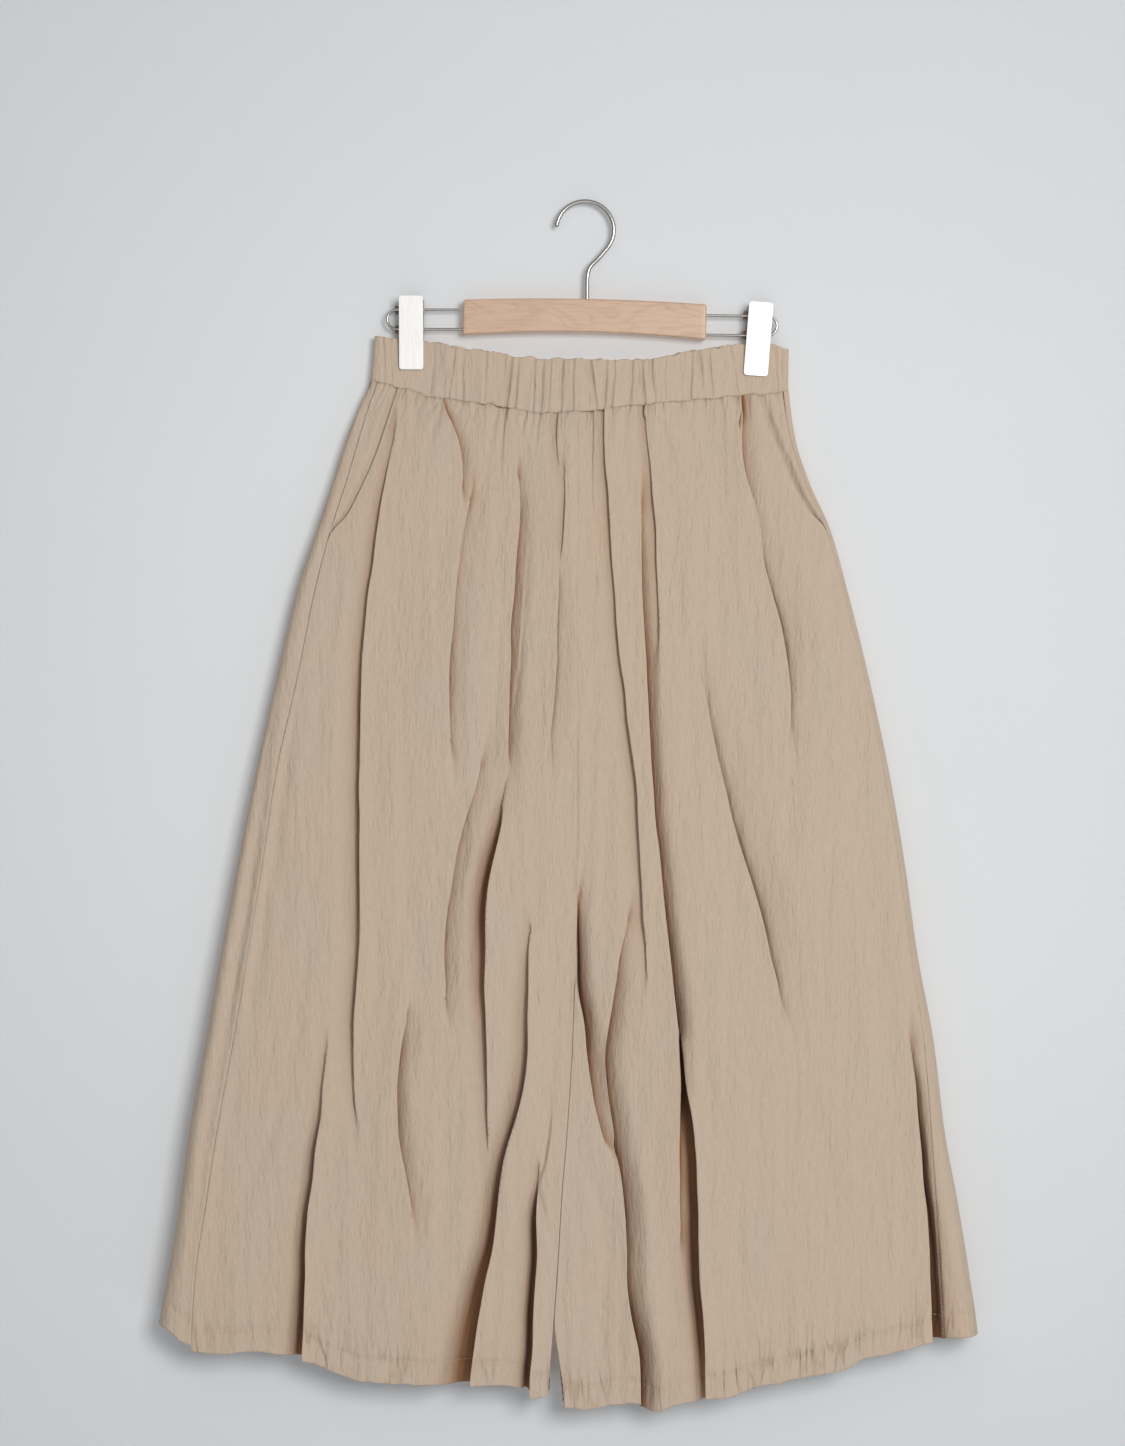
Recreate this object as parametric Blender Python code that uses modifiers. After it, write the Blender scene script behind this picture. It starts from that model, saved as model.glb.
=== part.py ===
"""Wide-leg culottes hung by the waistband from a clip hanger.

Units are metres. +Z is up, the front faces -Y, and the origin is the inside
top of the hook, where the hanger rests on a rail. Left and right are as seen
from the front.
"""

import math
from collections import namedtuple

import bmesh
import bpy
import numpy as np
from mathutils import Matrix, Vector

# ---------------------------------------------------------------- sizes

SEAM_GAP = 0.0003
BAND_SEAM_GAP = 0.0005    # between the gathered band and what is sewn to it
CLOTH_WALL = 0.0012
HEM_WALL = 0.0020
BAND_WALL = 0.0022
SEAT_GAP = 0.0003

# Rows of every body piece, as shares of the way from the band to the hem. The
# pockets end at POCKET_ROW, and the hem is the last step.
ROW_SHARES = (0.0, 0.035, 0.075, 0.115, 0.155, 0.210, 0.275, 0.345, 0.415, 0.490,
              0.565, 0.640, 0.715, 0.790, 0.860, 0.925, 0.977, 1.0)
POCKET_ROW = 4
LEVELS = np.linspace(-0.138, -0.975, 240)
COLUMN_GAP = 0.0020       # least distance between columns across a fold
SPREAD_PASSES = 60        # rounds of pushing near columns apart
EDGE_STRIP = 0.0014       # narrow strip along a side seam, so both sides meet evenly
EDGE_STRIP_SHARE = 0.2    # and its share of the run from the outline to the seam
INNER_STEPS = 3           # steps round a leg's inner edge

BAND_ROWS = 4
BAND_LEVEL = -0.110       # height of the band's top at the sides
BAND_FALL = 0.034         # and its height there
BAND_WRAP = 0.006         # how far the front half runs round onto the back
BAND_CORNER = 0.0034
BAND_CORNER_EASE = 0.004  # run over which the gathers start beside a corner
BACK_BAND_RISE = 0.02     # run over which the back half comes up behind the front
CLAMP_MARGIN = 0.001      # flat cloth past each side of a clip
CLAMP_EASE = 0.006        # run over which the gathers come back beside it

CROTCH_TOP = -0.500       # where the centre seam starts to turn between the legs
CROTCH_POINT = -0.560     # where the two legs part
PUFF_BELOW_BAND = 0.0008  # how far the gathered body stands out under the band
BLEND_BELOW_BAND = 0.060  # height over which the body leaves the band's flat form

POCKET_UNDERLAP = 0.008   # how far the hip piece runs on behind the pocket's edge
POCKET_TUCK = 0.0032      # how deep it lies there
POCKET_TUCK_SHARE = 0.72  # and at most this share of the half depth
POCKET_TUCK_LEAN = 0.3    # sideways shift for each step of depth
POCKET_TUCK_RUN = 0.0050
POCKET_TUCK_LEAD = 0.0025
POCKET_NARROW = 0.008     # where the hip piece is narrower it draws back from the seam
POCKET_RETREAT = 0.35
POCKET_ACROSS = (0.0, 0.22, 0.46, 0.66, 0.83, 1.0)
OUTLINE_SHARES = (0.0, 0.07, 0.26, 0.58)  # from the outline to the seam in front

# The body's outline and its half depths, from the waistband down.
# corner is the radius of the rounded side.
Section = namedtuple("Section", "z left right left_seam right_seam front back corner")
SECTIONS = (
    Section(-0.105, -0.1680, 0.1630, -0.1635, 0.1585, 0.0034, 0.0034, 0.0035),
    Section(-0.142, -0.1710, 0.1625, -0.1660, 0.1580, 0.0042, 0.0042, 0.0034),
    Section(-0.160, -0.1790, 0.1640, -0.1720, 0.1595, 0.0062, 0.0056, 0.0046),
    Section(-0.190, -0.1910, 0.1685, -0.1810, 0.1645, 0.0080, 0.0062, 0.0065),
    Section(-0.225, -0.2020, 0.1800, -0.1910, 0.1760, 0.0100, 0.0076, 0.0075),
    Section(-0.261, -0.2140, 0.1960, -0.2025, 0.1920, 0.0120, 0.0090, 0.0085),
    Section(-0.305, -0.2290, 0.2085, -0.2140, 0.2045, 0.0138, 0.0102, 0.0095),
    Section(-0.380, -0.2465, 0.2270, -0.2290, 0.2225, 0.0165, 0.0120, 0.0110),
    Section(-0.455, -0.2630, 0.2430, -0.2455, 0.2375, 0.0188, 0.0135, 0.0120),
    Section(-0.525, -0.2770, 0.2550, -0.2560, 0.2490, 0.0206, 0.0150, 0.0130),
    Section(-0.600, -0.2910, 0.2655, -0.2680, 0.2590, 0.0222, 0.0163, 0.0140),
    Section(-0.670, -0.3035, 0.2785, -0.2795, 0.2690, 0.0237, 0.0175, 0.0150),
    Section(-0.740, -0.3160, 0.2870, -0.2920, 0.2745, 0.0250, 0.0186, 0.0160),
    Section(-0.800, -0.3240, 0.2980, -0.3010, 0.2785, 0.0260, 0.0195, 0.0165),
    Section(-0.850, -0.3320, 0.3060, -0.3085, 0.2815, 0.0270, 0.0203, 0.0170),
    Section(-0.905, -0.3420, 0.3140, -0.3120, 0.2848, 0.0280, 0.0211, 0.0175),
    Section(-0.970, -0.3500, 0.3200, -0.3140, 0.2870, 0.0290, 0.0218, 0.0180),
)

# The waistband's two edges and the half depth of its outer face. It is shut at
# the clips and bows open between them.
BandRow = namedtuple("BandRow", "x top bottom depth")
BAND = (
    BandRow(-0.1700, -0.1076, -0.1420, 0.0032),
    BandRow(-0.1600, -0.1082, -0.1440, 0.0034),
    BandRow(-0.1500, -0.1092, -0.1475, 0.0025),
    BandRow(-0.1280, -0.1117, -0.1535, 0.0025),
    BandRow(-0.1080, -0.1150, -0.1570, 0.0046),
    BandRow(-0.0680, -0.1212, -0.1625, 0.0072),
    BandRow(-0.0360, -0.1255, -0.1680, 0.0084),
    BandRow(0.0000, -0.1262, -0.1665, 0.0086),
    BandRow(0.0440, -0.1262, -0.1615, 0.0080),
    BandRow(0.0640, -0.1230, -0.1597, 0.0070),
    BandRow(0.0920, -0.1182, -0.1572, 0.0052),
    BandRow(0.1240, -0.1143, -0.1540, 0.0025),
    BandRow(0.1480, -0.1133, -0.1520, 0.0025),
    BandRow(0.1560, -0.1150, -0.1512, 0.0032),
    BandRow(0.1640, -0.1172, -0.1508, 0.0030),
)
BACK_BAND_LIFT = 0.0008

# Creases of the gathered band: x at its top edge, x at its seam, depth.
Gather = namedtuple("Gather", "top bottom depth")
FRONT_GATHERS = (
    Gather(-0.1615, -0.1605, 0.0006),
    Gather(-0.1565, -0.1555, 0.0005),
    Gather(-0.1520, -0.1505, 0.0004),
    Gather(-0.1216, -0.1240, 0.0006),
    Gather(-0.1040, -0.1088, 0.0007),
    Gather(-0.0976, -0.0984, 0.0005),
    Gather(-0.0784, -0.0808, 0.0004),
    Gather(-0.0584, -0.0640, 0.0011),
    Gather(-0.0536, -0.0568, 0.0007),
    Gather(-0.0400, -0.0420, 0.0005),
    Gather(-0.0336, -0.0360, 0.0008),
    Gather(-0.0272, -0.0304, 0.0007),
    Gather(-0.0184, -0.0200, 0.0008),
    Gather(-0.0096, -0.0104, 0.0007),
    Gather(0.0040, 0.0080, 0.0011),
    Gather(0.0176, 0.0144, 0.0008),
    Gather(0.0240, 0.0208, 0.0007),
    Gather(0.0376, 0.0344, 0.0007),
    Gather(0.0456, 0.0480, 0.0011),
    Gather(0.0520, 0.0552, 0.0009),
    Gather(0.0640, 0.0632, 0.0004),
    Gather(0.0848, 0.0840, 0.0005),
    Gather(0.0904, 0.0944, 0.0007),
    Gather(0.0984, 0.1016, 0.0006),
    Gather(0.1160, 0.1200, 0.0006),
    Gather(0.1520, 0.1530, 0.0005),
    Gather(0.1575, 0.1580, 0.0005),
)
BACK_GATHER_COUNT = 26
BACK_GATHER_MARGIN = 0.012
BACK_GATHER_SHIFT = 0.0022
BACK_GATHER_LEAN = 0.0016
BACK_GATHER_DEPTH = 0.0007
BACK_GATHER_UNEVEN = 0.0002
GATHER_RIDGE = 0.0004

# Hem lines and the lines where the legs meet, each a list of (x, z) or (z, x).
FRONT_HEM = (
    (-0.3400, -0.9080), (-0.3120, -0.9120), (-0.2880, -0.9155), (-0.2650, -0.9130),
    (-0.2380, -0.9160), (-0.2180, -0.9215), (-0.1930, -0.9320), (-0.1720, -0.9380),
    (-0.0930, -0.9410), (-0.0690, -0.9410), (-0.0480, -0.9440), (-0.0445, -0.9510),
    (-0.0300, -0.9500), (-0.0170, -0.9580), (0.0010, -0.9590), (0.0190, -0.9555),
    (0.0320, -0.9540), (0.0560, -0.9620), (0.0740, -0.9555), (0.1100, -0.9500),
    (0.1380, -0.9410), (0.1760, -0.9340), (0.2010, -0.9290), (0.2220, -0.9195),
    (0.2520, -0.9125), (0.2780, -0.9045), (0.3140, -0.9020),
)
BACK_HEM = (
    (-0.3420, -0.8924), (-0.3300, -0.8972), (-0.3200, -0.9050), (-0.3100, -0.9076),
    (-0.2880, -0.9110), (-0.2400, -0.9120), (-0.1930, -0.9270), (-0.0930, -0.9360),
    (-0.0450, -0.9440), (-0.0280, -0.9470), (-0.0180, -0.9520), (0.0430, -0.9560),
    (0.1100, -0.9450), (0.1760, -0.9290), (0.2220, -0.9140), (0.2850, -0.9030),
    (0.3140, -0.9010),
)
LEG_LINE = (
    (-0.140, -0.0064), (-0.545, -0.0064), (-0.597, -0.0072), (-0.677, -0.0104),
    (-0.741, -0.0144), (-0.789, -0.0184), (-0.837, -0.0212), (-0.893, -0.0250),
)
LEG_SPLIT = -0.893        # below this the two inner edges swing apart
LEG_SPREAD = {"left": -0.0048, "right": 0.0082}
LEG_DROP = 0.065
LEG_CLEARANCE = 0.0005
INNER_CORNER = ((-0.50, 0.003), (-0.56, 0.004), (-0.66, 0.008), (-0.80, 0.010), (-0.96, 0.011))

POCKET_LINE = {
    "left": (
        (-0.142, -0.1470), (-0.148, -0.1496), (-0.173, -0.1576), (-0.204, -0.1680),
        (-0.231, -0.1800), (-0.252, -0.1912), (-0.2605, -0.2000), (-0.2660, -0.2040),
    ),
    "right": (
        (-0.142, 0.1350), (-0.152, 0.1390), (-0.174, 0.1456), (-0.200, 0.1560),
        (-0.232, 0.1700), (-0.250, 0.1815), (-0.2580, 0.1900), (-0.2640, 0.1930),
    ),
}

# Folds of the body. sharp is the width of the step under the lip, soft the run
# back to the face. Each path row is x, z and lap: the depth of the fold as a
# share of the half depth, positive with its left side on top, else its right.
Fold = namedtuple("Fold", "name sharp soft path")
FRONT_LEFT_FOLDS = (
    Fold("knee", 0.0030, 0.009, (
        (-0.1440, -0.150, 0.0), (-0.1730, -0.232, 0.0), (-0.2040, -0.300, 0.0),
        (-0.2260, -0.420, 0.0), (-0.2160, -0.600, 0.0), (-0.2040, -0.690, -0.25), (-0.2080, -0.740, -0.45),
        (-0.2190, -0.806, -0.60), (-0.2200, -0.866, -0.60), (-0.2280, -0.904, -0.65),
        (-0.2330, -0.940, -0.65))),
    Fold("hip", 0.0030, 0.020, (
        (-0.1400, -0.145, -0.10), (-0.1530, -0.180, -0.35), (-0.1600, -0.228, -0.50),
        (-0.1680, -0.280, -0.55), (-0.1760, -0.344, -0.55), (-0.1790, -0.412, -0.55),
        (-0.1790, -0.581, -0.50), (-0.1850, -0.672, -0.40), (-0.1820, -0.724, -0.30),
        (-0.1780, -0.790, 0.0), (-0.1750, -0.950, 0.0))),
    Fold("thigh", 0.0025, 0.014, (
        (-0.1150, -0.160, 0.05), (-0.1024, -0.184, 0.15), (-0.0976, -0.228, 0.35),
        (-0.0990, -0.273, 0.20), (-0.1050, -0.344, 0.30), (-0.1090, -0.385, 0.50),
        (-0.1050, -0.444, 0.25), (-0.1180, -0.520, 0.0), (-0.1456, -0.660, 0.0),
        (-0.1480, -0.705, 0.35), (-0.1420, -0.760, 0.20), (-0.1376, -0.810, 0.0))),
    Fold("thigh_low", 0.0030, 0.016, (
        (-0.0850, -0.160, 0.0), (-0.0800, -0.410, 0.0), (-0.0816, -0.448, 0.15),
        (-0.1000, -0.508, 0.35), (-0.1130, -0.581, 0.35), (-0.1130, -0.617, 0.25),
        (-0.1300, -0.655, 0.15), (-0.1310, -0.690, 0.0), (-0.1180, -0.780, 0.0))),
    Fold("main", 0.0028, 0.014, (
        (-0.0590, -0.164, 0.15), (-0.0560, -0.205, 0.12), (-0.0520, -0.238, 0.45),
        (-0.0568, -0.306, 0.55), (-0.0600, -0.364, 0.60), (-0.0608, -0.434, 0.60),
        (-0.0648, -0.489, 0.45), (-0.0740, -0.535, -0.25), (-0.0784, -0.572, -0.60),
        (-0.0792, -0.650, -0.55), (-0.0784, -0.707, -0.35), (-0.0840, -0.763, -0.25),
        (-0.0992, -0.806, -0.20), (-0.1032, -0.850, 0.0))),
    Fold("shin", 0.0040, 0.016, (
        (-0.0400, -0.164, 0.0), (-0.0440, -0.555, 0.0), (-0.0440, -0.588, -0.25),
        (-0.0448, -0.676, -0.45), (-0.0512, -0.724, -0.50), (-0.0624, -0.758, -0.55),
        (-0.0720, -0.824, -0.60), (-0.0856, -0.904, -0.65), (-0.0888, -0.949, -0.65))),
    Fold("inner", 0.0025, 0.004, (
        (-0.0310, -0.164, 0.0), (-0.0340, -0.740, 0.0), (-0.0370, -0.785, -0.25),
        (-0.0376, -0.809, -0.60), (-0.0384, -0.847, -0.65), (-0.0424, -0.894, -0.65),
        (-0.0464, -0.949, -0.65))),
    Fold("front", 0.0025, 0.008, (
        (-0.0208, -0.166, -0.25), (-0.0200, -0.205, -0.20), (-0.0168, -0.222, -0.20),
        (-0.0176, -0.260, -0.25), (-0.0216, -0.306, -0.20), (-0.0256, -0.364, -0.10),
        (-0.0240, -0.420, 0.0), (-0.0240, -0.700, 0.0), (-0.0330, -0.950, 0.0))),
)
FRONT_RIGHT_FOLDS = (
    Fold("crotch", 0.0025, 0.010, (
        (0.0010, -0.164, 0.0), (0.0010, -0.540, 0.0), (-0.0010, -0.575, 0.35),
        (-0.0008, -0.620, 0.50), (0.0008, -0.670, 0.50), (0.0048, -0.708, 0.40),
        (0.0168, -0.747, 0.20), (0.0160, -0.810, 0.0), (0.0080, -0.950, 0.0))),
    Fold("inner", 0.0050, 0.011, (
        (0.0090, -0.164, 0.0), (0.0140, -0.330, 0.0), (0.0280, -0.500, 0.0),
        (0.0328, -0.560, -0.20), (0.0272, -0.600, -0.40), (0.0210, -0.635, -0.45),
        (0.0168, -0.668, -0.35), (0.0192, -0.709, 0.45), (0.0280, -0.776, 0.50),
        (0.0320, -0.828, 0.50), (0.0370, -0.891, 0.44), (0.0430, -0.945, 0.38))),
    Fold("front", 0.0028, 0.012, (
        (0.0168, -0.164, -0.35), (0.0200, -0.250, -0.50), (0.0216, -0.288, -0.50),
        (0.0288, -0.364, -0.45), (0.0376, -0.444, -0.35), (0.0432, -0.512, -0.30),
        (0.0472, -0.558, -0.20), (0.0488, -0.630, 0.0), (0.0560, -0.950, 0.0))),
    Fold("main", 0.0025, 0.011, (
        (0.0360, -0.160, 0.0), (0.0425, -0.235, 0.0), (0.0448, -0.287, 0.35),
        (0.0480, -0.355, 0.50), (0.0536, -0.443, 0.55), (0.0632, -0.547, 0.50),
        (0.0712, -0.638, 0.55), (0.0744, -0.684, 0.60), (0.0748, -0.750, 0.50),
        (0.0752, -0.850, 0.35), (0.0770, -0.910, 0.05), (0.0770, -0.960, 0.0))),
    Fold("shin", 0.0030, 0.012, (
        (0.0420, -0.160, 0.0), (0.0500, -0.257, 0.0), (0.0590, -0.440, 0.0),
        (0.0690, -0.550, 0.0), (0.0790, -0.665, -0.15), (0.0824, -0.715, -0.45),
        (0.0880, -0.752, -0.55), (0.0904, -0.791, -0.55), (0.0920, -0.847, -0.50),
        (0.0952, -0.885, -0.40), (0.0952, -0.950, -0.20))),
    Fold("waist", 0.0025, 0.010, (
        (0.0480, -0.160, -0.30), (0.0520, -0.205, -0.40), (0.0568, -0.261, -0.45),
        (0.0592, -0.325, -0.25), (0.0620, -0.370, 0.0), (0.0680, -0.440, 0.0),
        (0.0780, -0.550, 0.0), (0.0920, -0.665, 0.0), (0.1020, -0.750, 0.0),
        (0.1080, -0.950, 0.0))),
    Fold("thigh", 0.0080, 0.026, (
        (0.0840, -0.157, 0.0), (0.0856, -0.209, 0.10), (0.0912, -0.364, 0.25),
        (0.0952, -0.420, 0.35), (0.1160, -0.489, 0.35), (0.1360, -0.558, 0.30),
        (0.1528, -0.627, 0.15), (0.1590, -0.680, 0.0), (0.1620, -0.950, 0.0))),
    Fold("hip", 0.0040, 0.026, (
        (0.1230, -0.153, 0.20), (0.1248, -0.190, 0.45), (0.1320, -0.239, 0.50),
        (0.1424, -0.282, 0.50), (0.1520, -0.332, 0.45), (0.1600, -0.393, 0.35),
        (0.1600, -0.455, 0.20), (0.1712, -0.535, 0.10), (0.1780, -0.600, 0.0),
        (0.1900, -0.950, 0.0))),
    Fold("side", 0.0040, 0.0045, (
        (0.1310, -0.153, 0.0), (0.1615, -0.232, 0.0), (0.1950, -0.300, 0.0),
        (0.2290, -0.455, 0.0), (0.2490, -0.600, 0.0), (0.2540, -0.664, 0.15),
        (0.2605, -0.724, 0.30), (0.2650, -0.796, 0.40), (0.2672, -0.950, 0.40))),
)
BACK_LEFT_FOLDS = (
    Fold("back_hip", 0.0040, 0.020, (
        (-0.1350, -0.160, 0.30), (-0.1560, -0.260, 0.45), (-0.1800, -0.420, 0.40),
        (-0.2050, -0.650, 0.30), (-0.2260, -0.930, 0.45))),
    Fold("back_thigh", 0.0035, 0.018, (
        (-0.0880, -0.160, -0.25), (-0.0980, -0.300, -0.50), (-0.1150, -0.520, -0.45),
        (-0.1360, -0.740, -0.35), (-0.1480, -0.930, -0.55))),
    Fold("back_seat", 0.0035, 0.016, (
        (-0.0420, -0.160, 0.30), (-0.0480, -0.330, 0.45), (-0.0640, -0.520, 0.20),
        (-0.0760, -0.700, 0.45), (-0.0860, -0.930, 0.60))),
)
BACK_RIGHT_FOLDS = (
    Fold("back_seat", 0.0035, 0.016, (
        (0.0300, -0.160, -0.30), (0.0360, -0.360, -0.45), (0.0500, -0.560, -0.25),
        (0.0560, -0.740, -0.50), (0.0600, -0.930, -0.60))),
    Fold("back_thigh", 0.0035, 0.018, (
        (0.0780, -0.157, 0.25), (0.0880, -0.290, 0.50), (0.1020, -0.500, 0.40),
        (0.1220, -0.720, 0.40), (0.1320, -0.930, 0.55))),
    Fold("back_hip", 0.0040, 0.020, (
        (0.1240, -0.155, -0.30), (0.1430, -0.270, -0.45), (0.1700, -0.450, -0.40),
        (0.1950, -0.680, -0.35), (0.2100, -0.930, -0.50))),
)
FOLDS = {
    "left": {"front": FRONT_LEFT_FOLDS, "back": BACK_LEFT_FOLDS},
    "right": {"front": FRONT_RIGHT_FOLDS, "back": BACK_RIGHT_FOLDS},
}
FOLD_RIDGE = 0.12         # how far a lip stands proud, as a share of its lap
RIDGE_WIDTH = 0.008
RELIEF_LIMITS = (0.28, 1.12)

# Hanger
HOOK_RADIUS = 0.0230
HOOK_WIRE = 0.00175
HOOK_TIP_ANGLE = 170.0
HOOK_TURN_ANGLE = -38.0
HOOK_ARC_STEPS = 20
HOOK_FOOT = ((0.0104, -0.0444), (0.0048, -0.0500), (0.0026, -0.0545), (0.0017, -0.0610),
             (0.0016, -0.0700), (0.0016, -0.0890))
HOOK_BORE_DEPTH = 0.0130

BAR_LENGTH = 0.1944
BAR_HEIGHT = 0.0280
BAR_DEPTH = 0.0120
BAR_TOP_RISE = 0.0026
BAR_BOTTOM_RISE = 0.0040
BAR_TILT = 1.156
BAR_CENTRE = (-0.0003, 0.0, -0.0934)
BAR_ARC_STEPS = 14
BAR_EDGE = 0.0014
BORE_SPARE = 0.001        # how much deeper a bore is than what sits in it

ROD_WIRE = 0.0011
ROD_SPACING = 0.0156
ROD_SEAT = 0.018
ROD_TURN_STEPS = 10
Rod = namedtuple("Rod", "bar_z turn_x turn_z")
RODS = {
    "left": Rod(-0.0928, -0.1504, -0.0928),
    "right": Rod(-0.0971, 0.1458, -0.0980),
}

CLIP_WIDTH = 0.0193
CLIP_TOP = 0.0180
CLIP_BOTTOM = -0.0404
CLIP_CORNER = 0.0025
CLIP_SHEET = 0.0011
CLIP_PINCH = 0.0040       # inner face of a jaw at its pad
CLIP_MOUTH = 0.0088       # inner face of a jaw at its top
CLIP_BEND = -0.0280       # below this a jaw stands upright
EAR_SHEET = 0.0010
EAR_INSET = 0.0016
EAR_HEIGHT = 0.0250
EAR_REACH = 0.0034        # how far an ear reaches back past the rods
EAR_LAP = 0.0004          # how far it runs into its jaw
LUG_HEIGHT = 0.0064
LUG_REACH = 0.0026        # how far a back jaw's lug reaches past the pin
LUG_LAP = 0.0006
HOLE_REACH = 0.02
PIN_RADIUS = 0.0010
PIN_PLAY = 0.0003
SPRING_RADIUS = 0.0027
SPRING_LENGTH = 0.0110
ROD_HOLE = 0.0019
PAD_HEIGHT = 0.0090
PAD_WIDTH = 0.0165
PAD_INSET = 0.0012        # from the jaw's lower edge
Clip = namedtuple("Clip", "x z tilt")
CLIPS = {
    "left": Clip(-0.1388, -0.0928, 0.0),
    "right": Clip(0.1393, -0.0979, 4.4),
}

CLOTH_COLOUR = (0.520, 0.423, 0.323, 1.0)
WOOD_COLOUR = (0.640, 0.440, 0.300, 1.0)
STEEL_COLOUR = (0.620, 0.600, 0.570, 1.0)
CLIP_COLOUR = (0.830, 0.820, 0.800, 1.0)
SPRING_COLOUR = (0.200, 0.160, 0.130, 1.0)
PAD_COLOUR = (0.060, 0.060, 0.060, 1.0)


# ---------------------------------------------------------------- scene

def clear_scene():
    """Remove the objects that a new file starts with."""
    for thing in list(bpy.data.objects):
        bpy.data.objects.remove(thing, do_unlink=True)


def make_collection(name):
    """Add a collection to the scene."""
    group = bpy.data.collections.new(name)
    bpy.context.scene.collection.children.link(group)
    return group


def make_material(name, colour, roughness, metallic=0.0):
    """A plain Principled material."""
    material = bpy.data.materials.new(name)
    material.use_nodes = True
    shader = material.node_tree.nodes["Principled BSDF"]
    shader.inputs["Base Color"].default_value = colour
    shader.inputs["Roughness"].default_value = roughness
    shader.inputs["Metallic"].default_value = metallic
    material.diffuse_color = colour
    return material


def add_mesh(name, bm, group, material=None):
    """Turn a bmesh into an object in a collection."""
    mesh = bpy.data.meshes.new(name)
    bm.to_mesh(mesh)
    bm.free()
    thing = bpy.data.objects.new(name, mesh)
    group.objects.link(thing)
    if material is not None:
        mesh.materials.append(material)
    return thing


# ---------------------------------------------------------------- curves

def clamp01(value):
    return np.clip(value, 0.0, 1.0)


def ease(value):
    """Smooth step from 0 to 1."""
    t = clamp01(value)
    return t * t * (3.0 - 2.0 * t)


def follow(knots, values, at):
    """Cubic through the rows of a table that never overshoots them."""
    order = np.argsort(knots)
    k = np.asarray(knots, float)[order]
    v = np.asarray(values, float)[order]
    step = np.diff(k)
    slope = np.diff(v) / step
    tangent = np.zeros(len(k))
    same = slope[:-1] * slope[1:] > 0.0
    inner = np.zeros(len(slope) - 1)
    inner[same] = 2.0 * slope[:-1][same] * slope[1:][same] / (slope[:-1] + slope[1:])[same]
    tangent[1:-1] = inner
    tangent[0] = slope[0]
    tangent[-1] = slope[-1]
    x = np.clip(np.asarray(at, float), k[0], k[-1])
    i = np.clip(np.searchsorted(k, x) - 1, 0, len(slope) - 1)
    t = (x - k[i]) / step[i]
    rise = t * t * (3.0 - 2.0 * t)
    lead = t * (1.0 - t) ** 2 * step[i] * tangent[i]
    trail = t * t * (t - 1.0) * step[i] * tangent[i + 1]
    return v[i] * (1.0 - rise) + v[i + 1] * rise + lead + trail


def section(field, z):
    """One column of SECTIONS at height z."""
    return follow([row.z for row in SECTIONS], [getattr(row, field) for row in SECTIONS], z)


def band(field, x):
    """One column of BAND at x."""
    return follow([row.x for row in BAND], [getattr(row, field) for row in BAND], x)


def pairs(table, at):
    """Second number of a two-column table at the first."""
    return follow([row[0] for row in table], [row[1] for row in table], at)


def leg_edge(side, z):
    """Inner edge of one leg: the centre seam above, the inseam below."""
    swing = ease((LEG_SPLIT - z) / LEG_DROP) * LEG_SPREAD[side]
    clearance = SEAM_GAP / 2.0 + LEG_CLEARANCE * ease((CROTCH_TOP - z) / 0.05)
    toward = -1.0 if side == "left" else 1.0
    return pairs(LEG_LINE, z) + swing + toward * clearance


# ---------------------------------------------------------------- body surface

def edge_strip(side, z):
    """Width of the narrow strip that borders a side seam."""
    return min(EDGE_STRIP, EDGE_STRIP_SHARE * abs(float(section(side, z) - section(side + "_seam", z))))


def rounding(distance, radius):
    """Height of a quarter round, 0 at its edge and 1 past its radius."""
    t = 1.0 - clamp01(distance / radius)
    return np.sqrt(np.maximum(1.0 - t * t, 0.0))


def relief(x, z, folds):
    """What the folds leave of the half depth at x, z."""
    left = np.ones_like(x)
    for fold in folds:
        heights = [row[1] for row in fold.path]
        centre = follow(heights, [row[0] for row in fold.path], z)
        lap = follow(heights, [row[2] for row in fold.path], z)
        away = (x - centre) * np.where(lap >= 0.0, 1.0, -1.0)
        valley = ease(away / fold.sharp) * (1.0 - ease((away - fold.sharp) / fold.soft))
        lip = np.exp(-(away / RIDGE_WIDTH) ** 2) * (1.0 - ease(away / fold.sharp))
        left = left - np.abs(lap) * (valley - FOLD_RIDGE * lip)
    return np.clip(left, *RELIEF_LIMITS)


def half_depth(face, side, x, z, folds):
    """Distance of the cloth's outer face from the middle plane."""
    outline = section(side, z)
    outer = np.abs(outline - x)
    inner = np.abs(x - leg_edge(side, z))
    parting = ease((CROTCH_TOP - z) / (CROTCH_TOP - CROTCH_POINT))
    inner_round = 1.0 - parting * (1.0 - rounding(inner, pairs(INNER_CORNER, z)))
    blend = ease((band("bottom", x) - z) / BLEND_BELOW_BAND)
    flat = (band("depth", x) + PUFF_BELOW_BAND) * (1.0 - blend) + section(face, z) * blend
    return flat * rounding(outer, section("corner", z)) * inner_round * relief(x, z, folds)


def spread_columns(wanted, low, high):
    """Sort columns and push near ones apart, between two fixed edges."""
    x = np.sort(np.clip(np.asarray(wanted, float), low, high))
    gap = min(COLUMN_GAP, 0.9 * (high - low) / (len(x) - 1))
    x[0] = low
    x[-1] = high
    for _ in range(SPREAD_PASSES):
        push = np.maximum(gap - np.diff(x), 0.0) / 2.0
        x[1:-1] += push[:-1] - push[1:]
    for i in range(1, len(x) - 1):
        x[i] = max(x[i], x[i - 1] + gap)
    for i in range(len(x) - 2, 0, -1):
        x[i] = min(x[i], x[i + 1] - gap)
    return x


def fold_columns(folds, z):
    """Columns that follow each fold: its lip, its foot and its soft side."""
    columns = []
    for fold in folds:
        centre = float(follow([row[1] for row in fold.path], [row[0] for row in fold.path], z))
        reach = fold.sharp + 0.5 * fold.soft
        for offset in (-reach, -fold.sharp, 0.0, fold.sharp, reach):
            columns.append(centre + offset)
    return columns


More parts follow.
